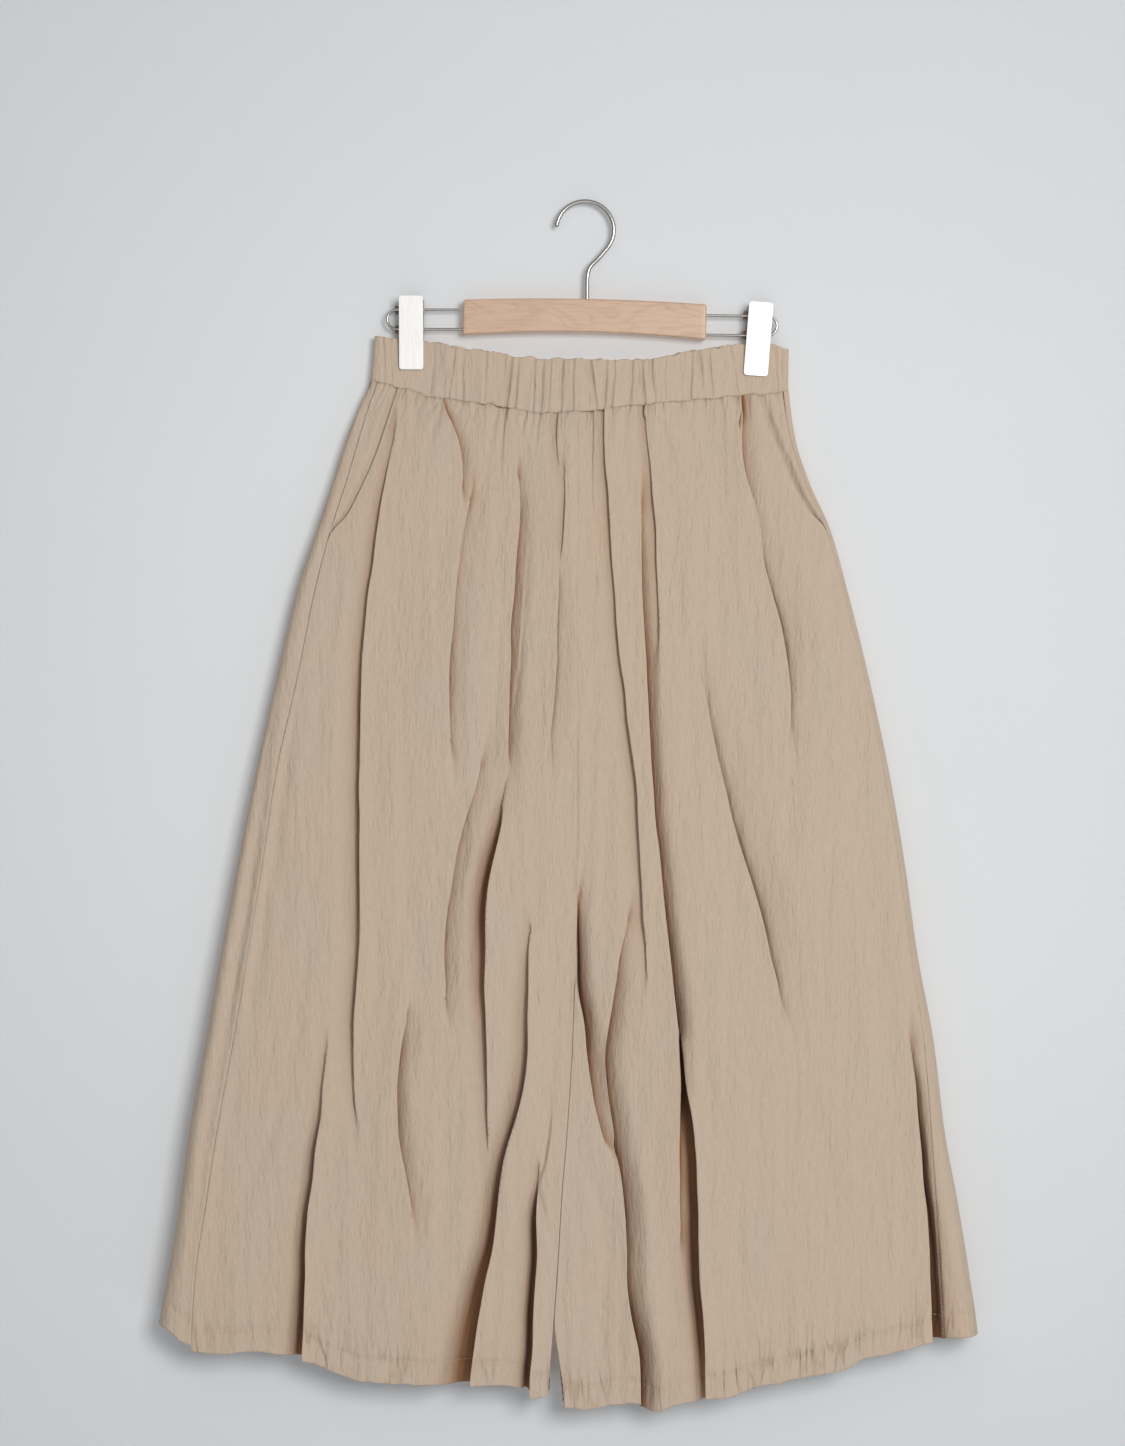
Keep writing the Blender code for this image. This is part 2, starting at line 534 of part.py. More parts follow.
def corner_offsets(radius, steps):
    """Distances from an edge at equal angles round its corner."""
    return [radius * (1.0 - math.cos(math.radians(90.0 * i / steps))) for i in range(steps + 1)]


# ---------------------------------------------------------------- panels

def grid_object(name, points, group, material, wall, hem_wall=None):
    """A solid wall behind a grid of points given row by row."""
    rows, columns = points.shape[:2]
    bm = bmesh.new()
    verts = [[bm.verts.new(points[r, c]) for c in range(columns)] for r in range(rows)]
    for r in range(rows - 1):
        for c in range(columns - 1):
            bm.faces.new((verts[r][c], verts[r + 1][c], verts[r + 1][c + 1], verts[r][c + 1]))
    thing = add_mesh(name, bm, group, material)
    solid = thing.modifiers.new("wall", "SOLIDIFY")
    solid.thickness = wall if hem_wall is None else hem_wall
    solid.offset = -1.0
    solid.use_even_offset = False
    if hem_wall is not None:
        weights = thing.vertex_groups.new(name="hem")
        for r in range(rows):
            weight = 1.0 if r >= rows - 2 else wall / hem_wall
            weights.add(range(r * columns, (r + 1) * columns), weight, "REPLACE")
        solid.vertex_group = "hem"
        solid.thickness_vertex_group = 0.0
    return thing


def column_points(levels, tracks, hem_table, shares, faces, side, folds):
    """Points of a panel: each column runs from the band to the hem."""
    points = np.zeros((len(shares), tracks.shape[1], 3))
    for c, face in enumerate(faces):
        def trace(z, c=c):
            return np.interp(-z, -levels, tracks[:, c])
        top = BAND[0].bottom
        foot = FRONT_HEM[0][1]
        for _ in range(4):
            top = float(band("bottom", trace(top))) - BAND_SEAM_GAP
            foot = float(pairs(hem_table, trace(foot)))
        z = top + (foot - top) * np.array(shares)
        x = trace(z)
        depth = np.maximum(half_depth(face, side, x, z, folds[face]), SEAM_GAP / 2.0)
        points[:, c, 0] = x
        points[:, c, 1] = -depth if face == "front" else depth
        points[:, c, 2] = z
    return points


def front_edge(side, z):
    """Outer edge of a front panel: pocket line above, side seam below."""
    seam = float(section(side + "_seam", z))
    line = float(pairs(POCKET_LINE[side], z)) if z > POCKET_LINE[side][-1][0] else seam
    if side == "left":
        return max(line, seam) + SEAM_GAP / 2.0
    return min(line, seam) - SEAM_GAP / 2.0


def front_columns(side, folds, z):
    """x of every column of a front panel at height z, left to right."""
    toward = 1.0 if side == "left" else -1.0
    outer = front_edge(side, z)
    inner = float(leg_edge(side, z))
    inward = corner_offsets(float(pairs(INNER_CORNER, z)), INNER_STEPS)
    start = outer + toward * edge_strip(side, z)
    stop = inner - toward * (inward[-1] + COLUMN_GAP)
    body = spread_columns(fold_columns(folds, z), min(start, stop), max(start, stop))
    corner = [inner - toward * d for d in inward]
    return sorted([outer] + list(body) + corner)


def front_panel(side, folds, group, material):
    """Front leg panel with its folds, pocket edge and hem."""
    tracks = np.array([front_columns(side, folds["front"], z) for z in LEVELS])
    faces = ["front"] * tracks.shape[1]
    points = column_points(LEVELS, tracks, FRONT_HEM, ROW_SHARES, faces, side, folds)
    return grid_object("front_" + side, points, group, material, CLOTH_WALL, HEM_WALL)


def back_stations(side, folds, z):
    """Columns of a back panel as (face, x): inner edge, round the side, to the seam."""
    toward = -1.0 if side == "left" else 1.0
    inner = float(leg_edge(side, z))
    outline = float(section(side, z))
    seam = float(section(side + "_seam", z))
    radius = float(section("corner", z))
    inward = corner_offsets(float(pairs(INNER_CORNER, z)), INNER_STEPS)
    start = inner + toward * (inward[-1] + COLUMN_GAP)
    stop = outline - toward * radius
    body = spread_columns(fold_columns(folds, z), min(start, stop), max(start, stop))
    stations = [("back", inner + toward * d) for d in inward]
    stations += [("back", x) for x in sorted(body, key=lambda x: toward * x)]
    stations += [("back", outline - toward * d) for d in reversed(corner_offsets(radius, 4)[1:-1])]
    strip = abs(outline - seam) - SEAM_GAP / 2.0
    shares = OUTLINE_SHARES + (1.0 - edge_strip(side, z) / strip, 1.0)
    stations += [("front", outline - toward * strip * share) for share in shares]
    return stations


def back_panel(side, folds, group, material):
    """Back leg panel, which wraps round the side to the seam in front."""
    levels = [back_stations(side, folds["back"], z) for z in LEVELS]
    faces = [face for face, _ in levels[0]]
    tracks = np.array([[x for _, x in stations] for stations in levels])
    points = column_points(LEVELS, tracks, BACK_HEM, ROW_SHARES, faces, side, folds)
    if side == "right":
        points = points[:, ::-1]
    return grid_object("back_" + side, points, group, material, CLOTH_WALL, HEM_WALL)


def pocket_piece(side, folds, group, material):
    """Hip piece between the side seam and the slanted pocket edge."""
    toward = 1.0 if side == "left" else -1.0
    tracks = []
    for z in LEVELS:
        seam = float(section(side + "_seam", z))
        line = max(toward * float(pairs(POCKET_LINE[side], z)), toward * seam) * toward
        narrow = max(POCKET_NARROW - abs(line - seam), 0.0)
        edge = seam + toward * (SEAM_GAP / 2.0 + POCKET_RETREAT * narrow)
        start = edge + toward * edge_strip(side, z)
        width = line + toward * POCKET_UNDERLAP - start
        tracks.append([edge] + [start + width * share for share in POCKET_ACROSS])
    faces = ["front"] * (len(POCKET_ACROSS) + 1)
    shares = ROW_SHARES[:POCKET_ROW + 1]
    points = column_points(LEVELS, np.array(tracks), FRONT_HEM, shares, faces, side, folds)
    line = pairs(POCKET_LINE[side], points[..., 2])
    tuck = np.minimum(POCKET_TUCK, POCKET_TUCK_SHARE * np.abs(points[..., 1]))
    outside = toward * (line - points[..., 0]) - POCKET_TUCK_LEAD
    tuck *= ease(1.0 - outside / POCKET_TUCK_RUN)
    points[..., 0] += toward * POCKET_TUCK_LEAN * tuck
    points[..., 1] += tuck
    if side == "right":
        points = points[:, ::-1]
    return grid_object("pocket_" + side, points, group, material, CLOTH_WALL)


# ---------------------------------------------------------------- waistband

def back_gathers():
    """Evenly spread creases with a steady unevenness."""
    low = BAND[0].x + BACK_GATHER_MARGIN
    high = BAND[-1].x - BACK_GATHER_MARGIN
    gathers = []
    for i in range(BACK_GATHER_COUNT):
        x = low + (high - low) * (i + 0.5) / BACK_GATHER_COUNT
        x += BACK_GATHER_SHIFT * math.sin(2.4 * i)
        lean = BACK_GATHER_LEAN * math.cos(1.7 * i)
        depth = BACK_GATHER_DEPTH + BACK_GATHER_UNEVEN * math.sin(3.1 * i)
        gathers.append(Gather(x - lean, x + lean, depth))
    return tuple(gathers)


def clamp_share(x):
    """0 under a clip's jaws and 1 away from them."""
    share = 1.0
    for clip in CLIPS.values():
        distance = abs(x - clip.x) - CLIP_WIDTH / 2.0 - CLAMP_MARGIN
        share = min(share, float(ease(distance / CLAMP_EASE)))
    return share


def band_stations(face, share, gathers):
    """Points round one half of the band as (side, x, puff) at a share of its height."""
    left = float(section("left", BAND_LEVEL - BAND_FALL * share))
    right = float(section("right", BAND_LEVEL - BAND_FALL * share))
    creases = [(g.top + (g.bottom - g.top) * share, g.depth) for g in gathers]
    ruffle = [(creases[0][0], -creases[0][1])]
    for (x_before, _), (x, depth) in zip(creases, creases[1:]):
        ruffle.append(((x_before + x) / 2.0, GATHER_RIDGE))
        ruffle.append((x, -depth))
    if face == "back":
        start = left + BAND_WRAP + BAND_SEAM_GAP
        stop = right - BAND_WRAP - BAND_SEAM_GAP
        return [("back", x, puff) for x, puff in [(start, 0.0)] + ruffle + [(stop, 0.0)]]
    ends = corner_offsets(BAND_CORNER, 3)
    stations = [("back", left + d, 0.0) for d in [BAND_WRAP] + ends[:0:-1]]
    stations += [("front", left + d, 0.0) for d in ends]
    stations += [("front", x, puff) for x, puff in ruffle]
    stations += [("front", right - d, 0.0) for d in ends[::-1]]
    stations += [("back", right - d, 0.0) for d in ends[1:] + [BAND_WRAP]]
    return stations


def waistband(face, gathers, group, material):
    """Half of the gathered elastic casing. The front half wraps round both sides."""
    lift = BACK_BAND_LIFT if face == "back" else 0.0
    points = []
    for r in range(BAND_ROWS):
        share = r / (BAND_ROWS - 1)
        left = float(section("left", BAND_LEVEL - BAND_FALL * share))
        right = float(section("right", BAND_LEVEL - BAND_FALL * share))
        row = []
        for side, x, puff in band_stations(face, share, gathers):
            near = min(x - left, right - x)
            wave = puff * clamp_share(x) * float(ease((near - BAND_CORNER) / BAND_CORNER_EASE))
            depth = max(float(band("depth", x)) + wave, BAND_WALL + SEAM_GAP / 2.0)
            depth *= float(rounding(near, BAND_CORNER))
            rise = float(ease((near - BAND_WRAP) / BACK_BAND_RISE))
            z_top = float(band("top", x)) + lift * rise
            z = z_top + (float(band("bottom", x)) - z_top) * share
            row.append((x, -depth if side == "front" else depth, z))
        points.append(row if face == "front" else row[::-1])
    return grid_object("waistband_" + face, np.array(points), group, material, BAND_WALL)


# ---------------------------------------------------------------- hanger

def tube(name, path, radius, group, material, resolution=2):
    """A round wire along a list of points."""
    curve = bpy.data.curves.new(name, "CURVE")
    curve.dimensions = "3D"
    curve.bevel_depth = radius
    curve.bevel_resolution = resolution
    curve.use_fill_caps = True
    line = curve.splines.new("POLY")
    line.points.add(len(path) - 1)
    for point, place in zip(line.points, path):
        point.co = (*place, 1.0)
    thing = bpy.data.objects.new(name, curve)
    group.objects.link(thing)
    curve.materials.append(material)
    return thing


def make_hook(group, material):
    """Open round hook whose inside top is the origin."""
    centre_z = -HOOK_RADIUS + HOOK_WIRE
    path = []
    for i in range(HOOK_ARC_STEPS + 1):
        turn = HOOK_TIP_ANGLE + (HOOK_TURN_ANGLE - HOOK_TIP_ANGLE) * i / HOOK_ARC_STEPS
        angle = math.radians(turn)
        path.append((HOOK_RADIUS * math.cos(angle), 0.0, centre_z + HOOK_RADIUS * math.sin(angle)))
    path += [(x, 0.0, z) for x, z in HOOK_FOOT]
    return tube("hook", path, HOOK_WIRE, group, material, 3)


def rod_path(side):
    """Centre line of one bent rod: in the bar, out, round its end and back."""
    rod = RODS[side]
    toward = -1.0 if side == "left" else 1.0
    start = toward * (BAR_LENGTH / 2.0 - ROD_SEAT)
    half = ROD_SPACING / 2.0
    upper = [(start, 0.0, rod.bar_z + half)]
    lower = [(start, 0.0, rod.bar_z - half)]
    turn = []
    for i in range(ROD_TURN_STEPS + 1):
        angle = math.pi / 2.0 - math.pi * i / ROD_TURN_STEPS
        x = rod.turn_x + toward * half * math.cos(angle)
        turn.append((x, 0.0, rod.turn_z + half * math.sin(angle)))
    return upper + turn + lower


def cylinder_along(name, start, end, radius, group, material=None, sides=16):
    """A closed cylinder between two points."""
    start = Vector(start)
    end = Vector(end)
    axis = end - start
    bm = bmesh.new()
    bmesh.ops.create_cone(bm, cap_ends=True, segments=sides, radius1=radius,
                          radius2=radius, depth=axis.length)
    turn = axis.to_track_quat("Z", "Y").to_matrix().to_4x4()
    bm.transform(Matrix.Translation((start + end) / 2.0) @ turn)
    return add_mesh(name, bm, group, material)


def block(name, low, high, group, material=None):
    """A closed box between two corners."""
    bm = bmesh.new()
    bmesh.ops.create_cube(bm, size=1.0)
    size = Vector(high) - Vector(low)
    middle = (Vector(high) + Vector(low)) / 2.0
    bm.transform(Matrix.Translation(middle) @ Matrix.Diagonal((*size, 1.0)))
    return add_mesh(name, bm, group, material)


def as_cutter(thing):
    """Mark an object as a tool that is not part of the model."""
    thing.hide_render = True
    thing.display_type = "WIRE"
    return thing


def combine(thing, other, operation):
    """Boolean one object with another."""
    step = thing.modifiers.new(other.name, "BOOLEAN")
    step.operation = operation
    step.object = as_cutter(other)
    step.solver = "EXACT"


def make_bar(group, cutters, material):
    """Arched wooden bar with bores for the hook and the rods."""
    curve = bpy.data.curves.new("bar_outline", "CURVE")
    curve.dimensions = "2D"
    curve.fill_mode = "BOTH"
    curve.extrude = BAR_DEPTH / 2.0
    outline = []
    for direction, level, rise in ((1, 0.5, BAR_TOP_RISE), (-1, -0.5, BAR_BOTTOM_RISE)):
        for i in range(BAR_ARC_STEPS + 1):
            t = direction * (2.0 * i / BAR_ARC_STEPS - 1.0)
            outline.append((t * BAR_LENGTH / 2.0, level * BAR_HEIGHT + rise * (1.0 - t * t)))
    line = curve.splines.new("POLY")
    line.points.add(len(outline) - 1)
    line.use_cyclic_u = True
    for point, (x, z) in zip(line.points, outline):
        point.co = (x, z, 0.0, 1.0)
    flat = bpy.data.objects.new("bar_outline", curve)
    group.objects.link(flat)
    mesh = bpy.data.meshes.new_from_object(flat.evaluated_get(bpy.context.evaluated_depsgraph_get()))
    bpy.data.objects.remove(flat, do_unlink=True)
    bm = bmesh.new()
    bm.from_mesh(mesh)
    bmesh.ops.remove_doubles(bm, verts=bm.verts, dist=0.00001)
    tilt = Matrix.Rotation(math.radians(BAR_TILT), 4, "Y")
    stand = Matrix.Rotation(math.radians(90.0), 4, "X")
    bm.transform(Matrix.Translation(BAR_CENTRE) @ tilt @ stand)
    bmesh.ops.recalc_face_normals(bm, faces=bm.faces)
    bar = add_mesh("wood_bar", bm, group, material)
    edge = bar.modifiers.new("edge", "BEVEL")
    edge.width = BAR_EDGE
    edge.segments = 2
    edge.limit_method = "ANGLE"
    edge.angle_limit = math.radians(40.0)
    top = BAR_CENTRE[2] + BAR_HEIGHT / 2.0 + BAR_TOP_RISE
    stem_x = HOOK_FOOT[-1][0]
    bore = cylinder_along("hook_bore", (stem_x, 0.0, top + 0.01),
                          (stem_x, 0.0, top - HOOK_BORE_DEPTH - BORE_SPARE),
                          HOOK_WIRE + SEAT_GAP, cutters)
    combine(bar, bore, "DIFFERENCE")
    for side, rod in RODS.items():
        toward = -1.0 if side == "left" else 1.0
        root = toward * (BAR_LENGTH / 2.0 - ROD_SEAT)
        inside = root - toward * BORE_SPARE
        for sign in (1.0, -1.0):
            z_in = rod.bar_z + sign * ROD_SPACING / 2.0
            slope = (rod.turn_z - rod.bar_z) / (rod.turn_x - root)
            outside = toward * (BAR_LENGTH / 2.0 + 0.010)
            start = (inside, 0.0, z_in)
            end = (outside, 0.0, z_in + slope * (outside - inside))
            hole = cylinder_along("rod_bore_%s_%d" % (side, sign), start, end,
                                  ROD_WIRE + SEAT_GAP, cutters, sides=12)
            combine(bar, hole, "DIFFERENCE")
    return bar


def jaw_face(z):
    """Inner face of a jaw's sheet at height z over the pin."""
    return CLIP_PINCH + (CLIP_MOUTH - CLIP_PINCH) * max(0.0, z - CLIP_BEND) / (CLIP_TOP - CLIP_BEND)


def jaw_sheet(name, sign, group, material):
    """Bent plate of one jaw with rounded corners, in the clip's own frame."""
    corner = corner_offsets(CLIP_CORNER, 3)
    heights = [CLIP_TOP - d for d in corner] + [0.0, CLIP_BEND + 0.003, CLIP_BEND - 0.003]
    heights += [CLIP_BOTTOM + d for d in reversed(corner)]
    points = []
    for z in heights:
        near = min(CLIP_TOP - z, z - CLIP_BOTTOM)
        half = CLIP_WIDTH / 2.0 - CLIP_CORNER * (1.0 - float(rounding(near, CLIP_CORNER)))
        y = sign * (jaw_face(z) + CLIP_SHEET)
        points.append([(x, y, z) for x in (-half, 0.0, half)])
    points = np.array(points)
    if sign > 0:
        points = points[:, ::-1]
    return grid_object(name, points, group, material, CLIP_SHEET)


def place(thing, frame):
    """Move an object's mesh into the part's frame."""
    thing.data.transform(frame)
    return thing


def make_clip(side, group, cutters, steel, dark, rubber):
    """Spring clip: two jaws on a pin, a spring and two pads."""
    clip = CLIPS[side]
    name = "clip_" + side
    frame = Matrix.Translation((clip.x, 0.0, clip.z))
    frame = frame @ Matrix.Rotation(math.radians(clip.tilt), 4, "Y")
    outer = CLIP_WIDTH / 2.0 - EAR_INSET
    front = jaw_sheet(name + "_front_jaw", -1.0, group, steel)
    back = jaw_sheet(name + "_back_jaw", 1.0, group, steel)
    tools = []
    for turn in (-1.0, 1.0):
        low, high = sorted((turn * outer, turn * (outer - EAR_SHEET)))
        ear = block("%s_ear_%d" % (name, turn),
                    (low, -jaw_face(-EAR_HEIGHT / 2.0) - EAR_LAP, -EAR_HEIGHT / 2.0),
                    (high, EAR_REACH, EAR_HEIGHT / 2.0), cutters)
        combine(front, ear, "UNION")
        edge = outer - EAR_SHEET - SEAT_GAP
        low, high = sorted((turn * edge, turn * (edge - EAR_SHEET)))
        lug = block("%s_lug_%d" % (name, turn),
                    (low, -LUG_REACH, -LUG_HEIGHT / 2.0),
                    (high, jaw_face(0.0) + LUG_LAP, LUG_HEIGHT / 2.0), cutters)
        combine(back, lug, "UNION")
        tools += [ear, lug]
    for label, z, radius in (("upper", ROD_SPACING / 2.0, ROD_HOLE),
                             ("lower", -ROD_SPACING / 2.0, ROD_HOLE),
                             ("pin", 0.0, PIN_RADIUS + PIN_PLAY)):
        hole = cylinder_along("%s_hole_%s" % (name, label), (-HOLE_REACH, 0.0, z),
                              (HOLE_REACH, 0.0, z), radius, cutters, sides=14)
        combine(front, hole, "DIFFERENCE")
        if label == "pin":
            combine(back, hole, "DIFFERENCE")
        tools.append(hole)
    pin = cylinder_along(name + "_pin", (-outer, 0.0, 0.0), (outer, 0.0, 0.0),
                         PIN_RADIUS, group, steel, sides=12)
    spring = cylinder_along(name + "_spring", (-SPRING_LENGTH / 2.0, 0.0, 0.0),
                            (SPRING_LENGTH / 2.0, 0.0, 0.0), SPRING_RADIUS, group, dark)
    eye = cylinder_along(name + "_spring_eye", (-HOLE_REACH, 0.0, 0.0),
                         (HOLE_REACH, 0.0, 0.0), PIN_RADIUS + PIN_PLAY, cutters, sides=12)
    combine(spring, eye, "DIFFERENCE")
    pads = []
    pad_low = CLIP_BOTTOM + PAD_INSET
    face = BAND[3].depth + SEAT_GAP
    for sign, label in ((-1.0, "front"), (1.0, "back")):
        low, high = sorted((sign * face, sign * (CLIP_PINCH - SEAT_GAP)))
        pads.append(block("%s_%s_pad" % (name, label), (-PAD_WIDTH / 2.0, low, pad_low),
                          (PAD_WIDTH / 2.0, high, pad_low + PAD_HEIGHT), group, rubber))
    for thing in [front, back, pin, spring, eye] + pads + tools:
        place(thing, frame)


# ---------------------------------------------------------------- build

def build():
    clear_scene()
    group = make_collection("culottes_on_clip_hanger")
    cutters = make_collection("cutters")
    cloth = make_material("cloth", CLOTH_COLOUR, 0.9)
    wood = make_material("wood", WOOD_COLOUR, 0.5)
    wire = make_material("wire", STEEL_COLOUR, 0.3, 1.0)
    clip_steel = make_material("clip_steel", CLIP_COLOUR, 0.4, 1.0)
    spring_steel = make_material("spring_steel", SPRING_COLOUR, 0.5, 1.0)
    rubber = make_material("rubber", PAD_COLOUR, 0.8)

    for side, folds in FOLDS.items():
        front_panel(side, folds, group, cloth)
        back_panel(side, folds, group, cloth)
        pocket_piece(side, folds, group, cloth)
    waistband("front", FRONT_GATHERS, group, cloth)
    waistband("back", back_gathers(), group, cloth)

    make_hook(group, wire)
    make_bar(group, cutters, wood)
    for side in ("left", "right"):
        tube("rod_" + side, rod_path(side), ROD_WIRE, group, wire)
        make_clip(side, group, cutters, clip_steel, spring_steel, rubber)


build()
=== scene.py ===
"""Looks of the wide-leg culottes on a clip hanger: cloth shells, hanger, wall, light, camera.

Metres, +Z up, the front faces -Y, and the origin is the inside top of the hook.
Left and right are as seen from the front.
"""

import math
from collections import namedtuple

import bpy
import numpy as np
from mathutils import Matrix, Vector

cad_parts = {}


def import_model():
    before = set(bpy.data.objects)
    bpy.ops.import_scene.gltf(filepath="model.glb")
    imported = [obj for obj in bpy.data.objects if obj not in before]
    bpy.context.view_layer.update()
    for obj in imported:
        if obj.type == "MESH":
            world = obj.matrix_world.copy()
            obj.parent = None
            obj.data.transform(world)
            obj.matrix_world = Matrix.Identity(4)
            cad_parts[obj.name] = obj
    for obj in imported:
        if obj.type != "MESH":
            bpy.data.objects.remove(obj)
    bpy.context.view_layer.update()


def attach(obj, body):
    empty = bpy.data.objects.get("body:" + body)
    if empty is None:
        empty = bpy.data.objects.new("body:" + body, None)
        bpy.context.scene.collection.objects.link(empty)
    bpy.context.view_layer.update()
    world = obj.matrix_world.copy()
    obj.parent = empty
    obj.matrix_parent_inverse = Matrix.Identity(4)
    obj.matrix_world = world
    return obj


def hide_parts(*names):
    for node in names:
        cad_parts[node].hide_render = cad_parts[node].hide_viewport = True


# ---------------------------------------------------------------- tables shared with the part

# The tables hold lengths in tenths of a millimetre and shares in hundredths.
TENTHS = 10000
HUNDREDTHS = 100


def rows(*table, kind=None):
    """A table's rows in metres, as plain tuples or as a named kind."""
    make = kind._make if kind else tuple
    return tuple(make(value / TENTHS for value in row) for row in table)


def lines(kind, *table):
    """Rows of a kind that ends in a path: its sizes, then x, z and a share for each point."""
    sizes = len(kind._fields) - 1
    made = []
    for row in table:
        head = [value if isinstance(value, str) else value / TENTHS for value in row[:sizes]]
        path = tuple((x / TENTHS, z / TENTHS, share / HUNDREDTHS) for x, z, share in row[sizes:])
        made.append(kind(*head, path))
    return tuple(made)


# The body's outline and its half depths, from the waistband down.
# corner is the radius of the rounded side.
Section = namedtuple("Section", "z left right left_seam right_seam front back corner")
SECTIONS = rows(
    (-1050, -1680, 1630, -1635, 1585, 34, 34, 35), (-1420, -1710, 1625, -1660, 1580, 42, 42, 34),
    (-1600, -1790, 1640, -1720, 1595, 62, 56, 46), (-1900, -1910, 1685, -1810, 1645, 80, 62, 65),
    (-2250, -2020, 1800, -1910, 1760, 100, 76, 75), (-2610, -2140, 1960, -2025, 1920, 120, 90, 85),
    (-3050, -2290, 2085, -2140, 2045, 138, 102, 95),
    (-3800, -2465, 2270, -2290, 2225, 165, 120, 110),
    (-4550, -2630, 2430, -2455, 2375, 188, 135, 120),
    (-5250, -2770, 2550, -2560, 2490, 206, 150, 130),
    (-6000, -2910, 2655, -2680, 2590, 222, 163, 140),
    (-6700, -3035, 2785, -2795, 2690, 237, 175, 150),
    (-7400, -3160, 2870, -2920, 2745, 250, 186, 160),
    (-8000, -3240, 2980, -3010, 2785, 260, 195, 165),
    (-8500, -3320, 3060, -3085, 2815, 270, 203, 170),
    (-9050, -3420, 3140, -3120, 2848, 280, 211, 175),
    (-9700, -3500, 3200, -3140, 2870, 290, 218, 180),
    kind=Section)

# The waistband's two edges and the half depth of its outer face. It is shut at
# the clips and bows open between them.
BandRow = namedtuple("BandRow", "x top bottom depth")
BAND = rows(
    (-1700, -1076, -1420, 32), (-1600, -1082, -1440, 34), (-1500, -1092, -1475, 25),
    (-1280, -1117, -1535, 25), (-1080, -1150, -1570, 46), (-680, -1212, -1625, 72),
    (-360, -1255, -1680, 84), (0, -1262, -1665, 86), (440, -1262, -1615, 80),
    (640, -1230, -1597, 70), (920, -1182, -1572, 52), (1240, -1143, -1540, 25),
    (1480, -1133, -1520, 25), (1560, -1150, -1512, 32), (1640, -1172, -1508, 30),
    kind=BandRow)

# Creases of the gathered band: x at its top edge, x at its seam, depth.
Gather = namedtuple("Gather", "top bottom depth")
FRONT_GATHERS = rows(
    (-1615, -1605, 6), (-1565, -1555, 5), (-1520, -1505, 4), (-1216, -1240, 6), (-1040, -1088, 7),
    (-976, -984, 5), (-784, -808, 4), (-584, -640, 11), (-536, -568, 7), (-400, -420, 5),
    (-336, -360, 8), (-272, -304, 7), (-184, -200, 8), (-96, -104, 7), (40, 80, 11), (176, 144, 8),
    (240, 208, 7), (376, 344, 7), (456, 480, 11), (520, 552, 9), (640, 632, 4), (848, 840, 5),
    (904, 944, 7), (984, 1016, 6), (1160, 1200, 6), (1520, 1530, 5), (1575, 1580, 5),
    kind=Gather)

# Hem lines as (x, z).
FRONT_HEM = rows(
    (-3400, -9080), (-3120, -9120), (-2880, -9155), (-2650, -9130), (-2380, -9160), (-2180, -9215),
    (-1930, -9320), (-1720, -9380), (-930, -9410), (-690, -9410), (-480, -9440), (-445, -9510),
    (-300, -9500), (-170, -9580), (10, -9590), (190, -9555), (320, -9540), (560, -9620),
    (740, -9555), (1100, -9500), (1380, -9410), (1760, -9340), (2010, -9290), (2220, -9195),
    (2520, -9125), (2780, -9045), (3140, -9020))
BACK_HEM = rows(
    (-3420, -8924), (-3300, -8972), (-3200, -9050), (-3100, -9076), (-2880, -9110), (-2400, -9120),
    (-1930, -9270), (-930, -9360), (-450, -9440), (-280, -9470), (-180, -9520), (430, -9560),
    (1100, -9450), (1760, -9290), (2220, -9140), (2850, -9030), (3140, -9010))

# The line where the legs meet, the legs' inner corners and the pocket openings, by height.
LEG_LINE = rows(
    (-1400, -64), (-5450, -64), (-5970, -72), (-6770, -104), (-7410, -144), (-7890, -184),
    (-8370, -212), (-8930, -250))
INNER_CORNER = rows((-5000, 30), (-5600, 40), (-6600, 80), (-8000, 100), (-9600, 110))
POCKET_LINE = {
    "left": rows(
        (-1420, -1470), (-1480, -1496), (-1730, -1576), (-2040, -1680), (-2310, -1800),
        (-2520, -1912), (-2605, -2000), (-2660, -2040)),
    "right": rows(
        (-1420, 1350), (-1520, 1390), (-1740, 1456), (-2000, 1560), (-2320, 1700), (-2500, 1815),
        (-2580, 1900), (-2640, 1930)),
}

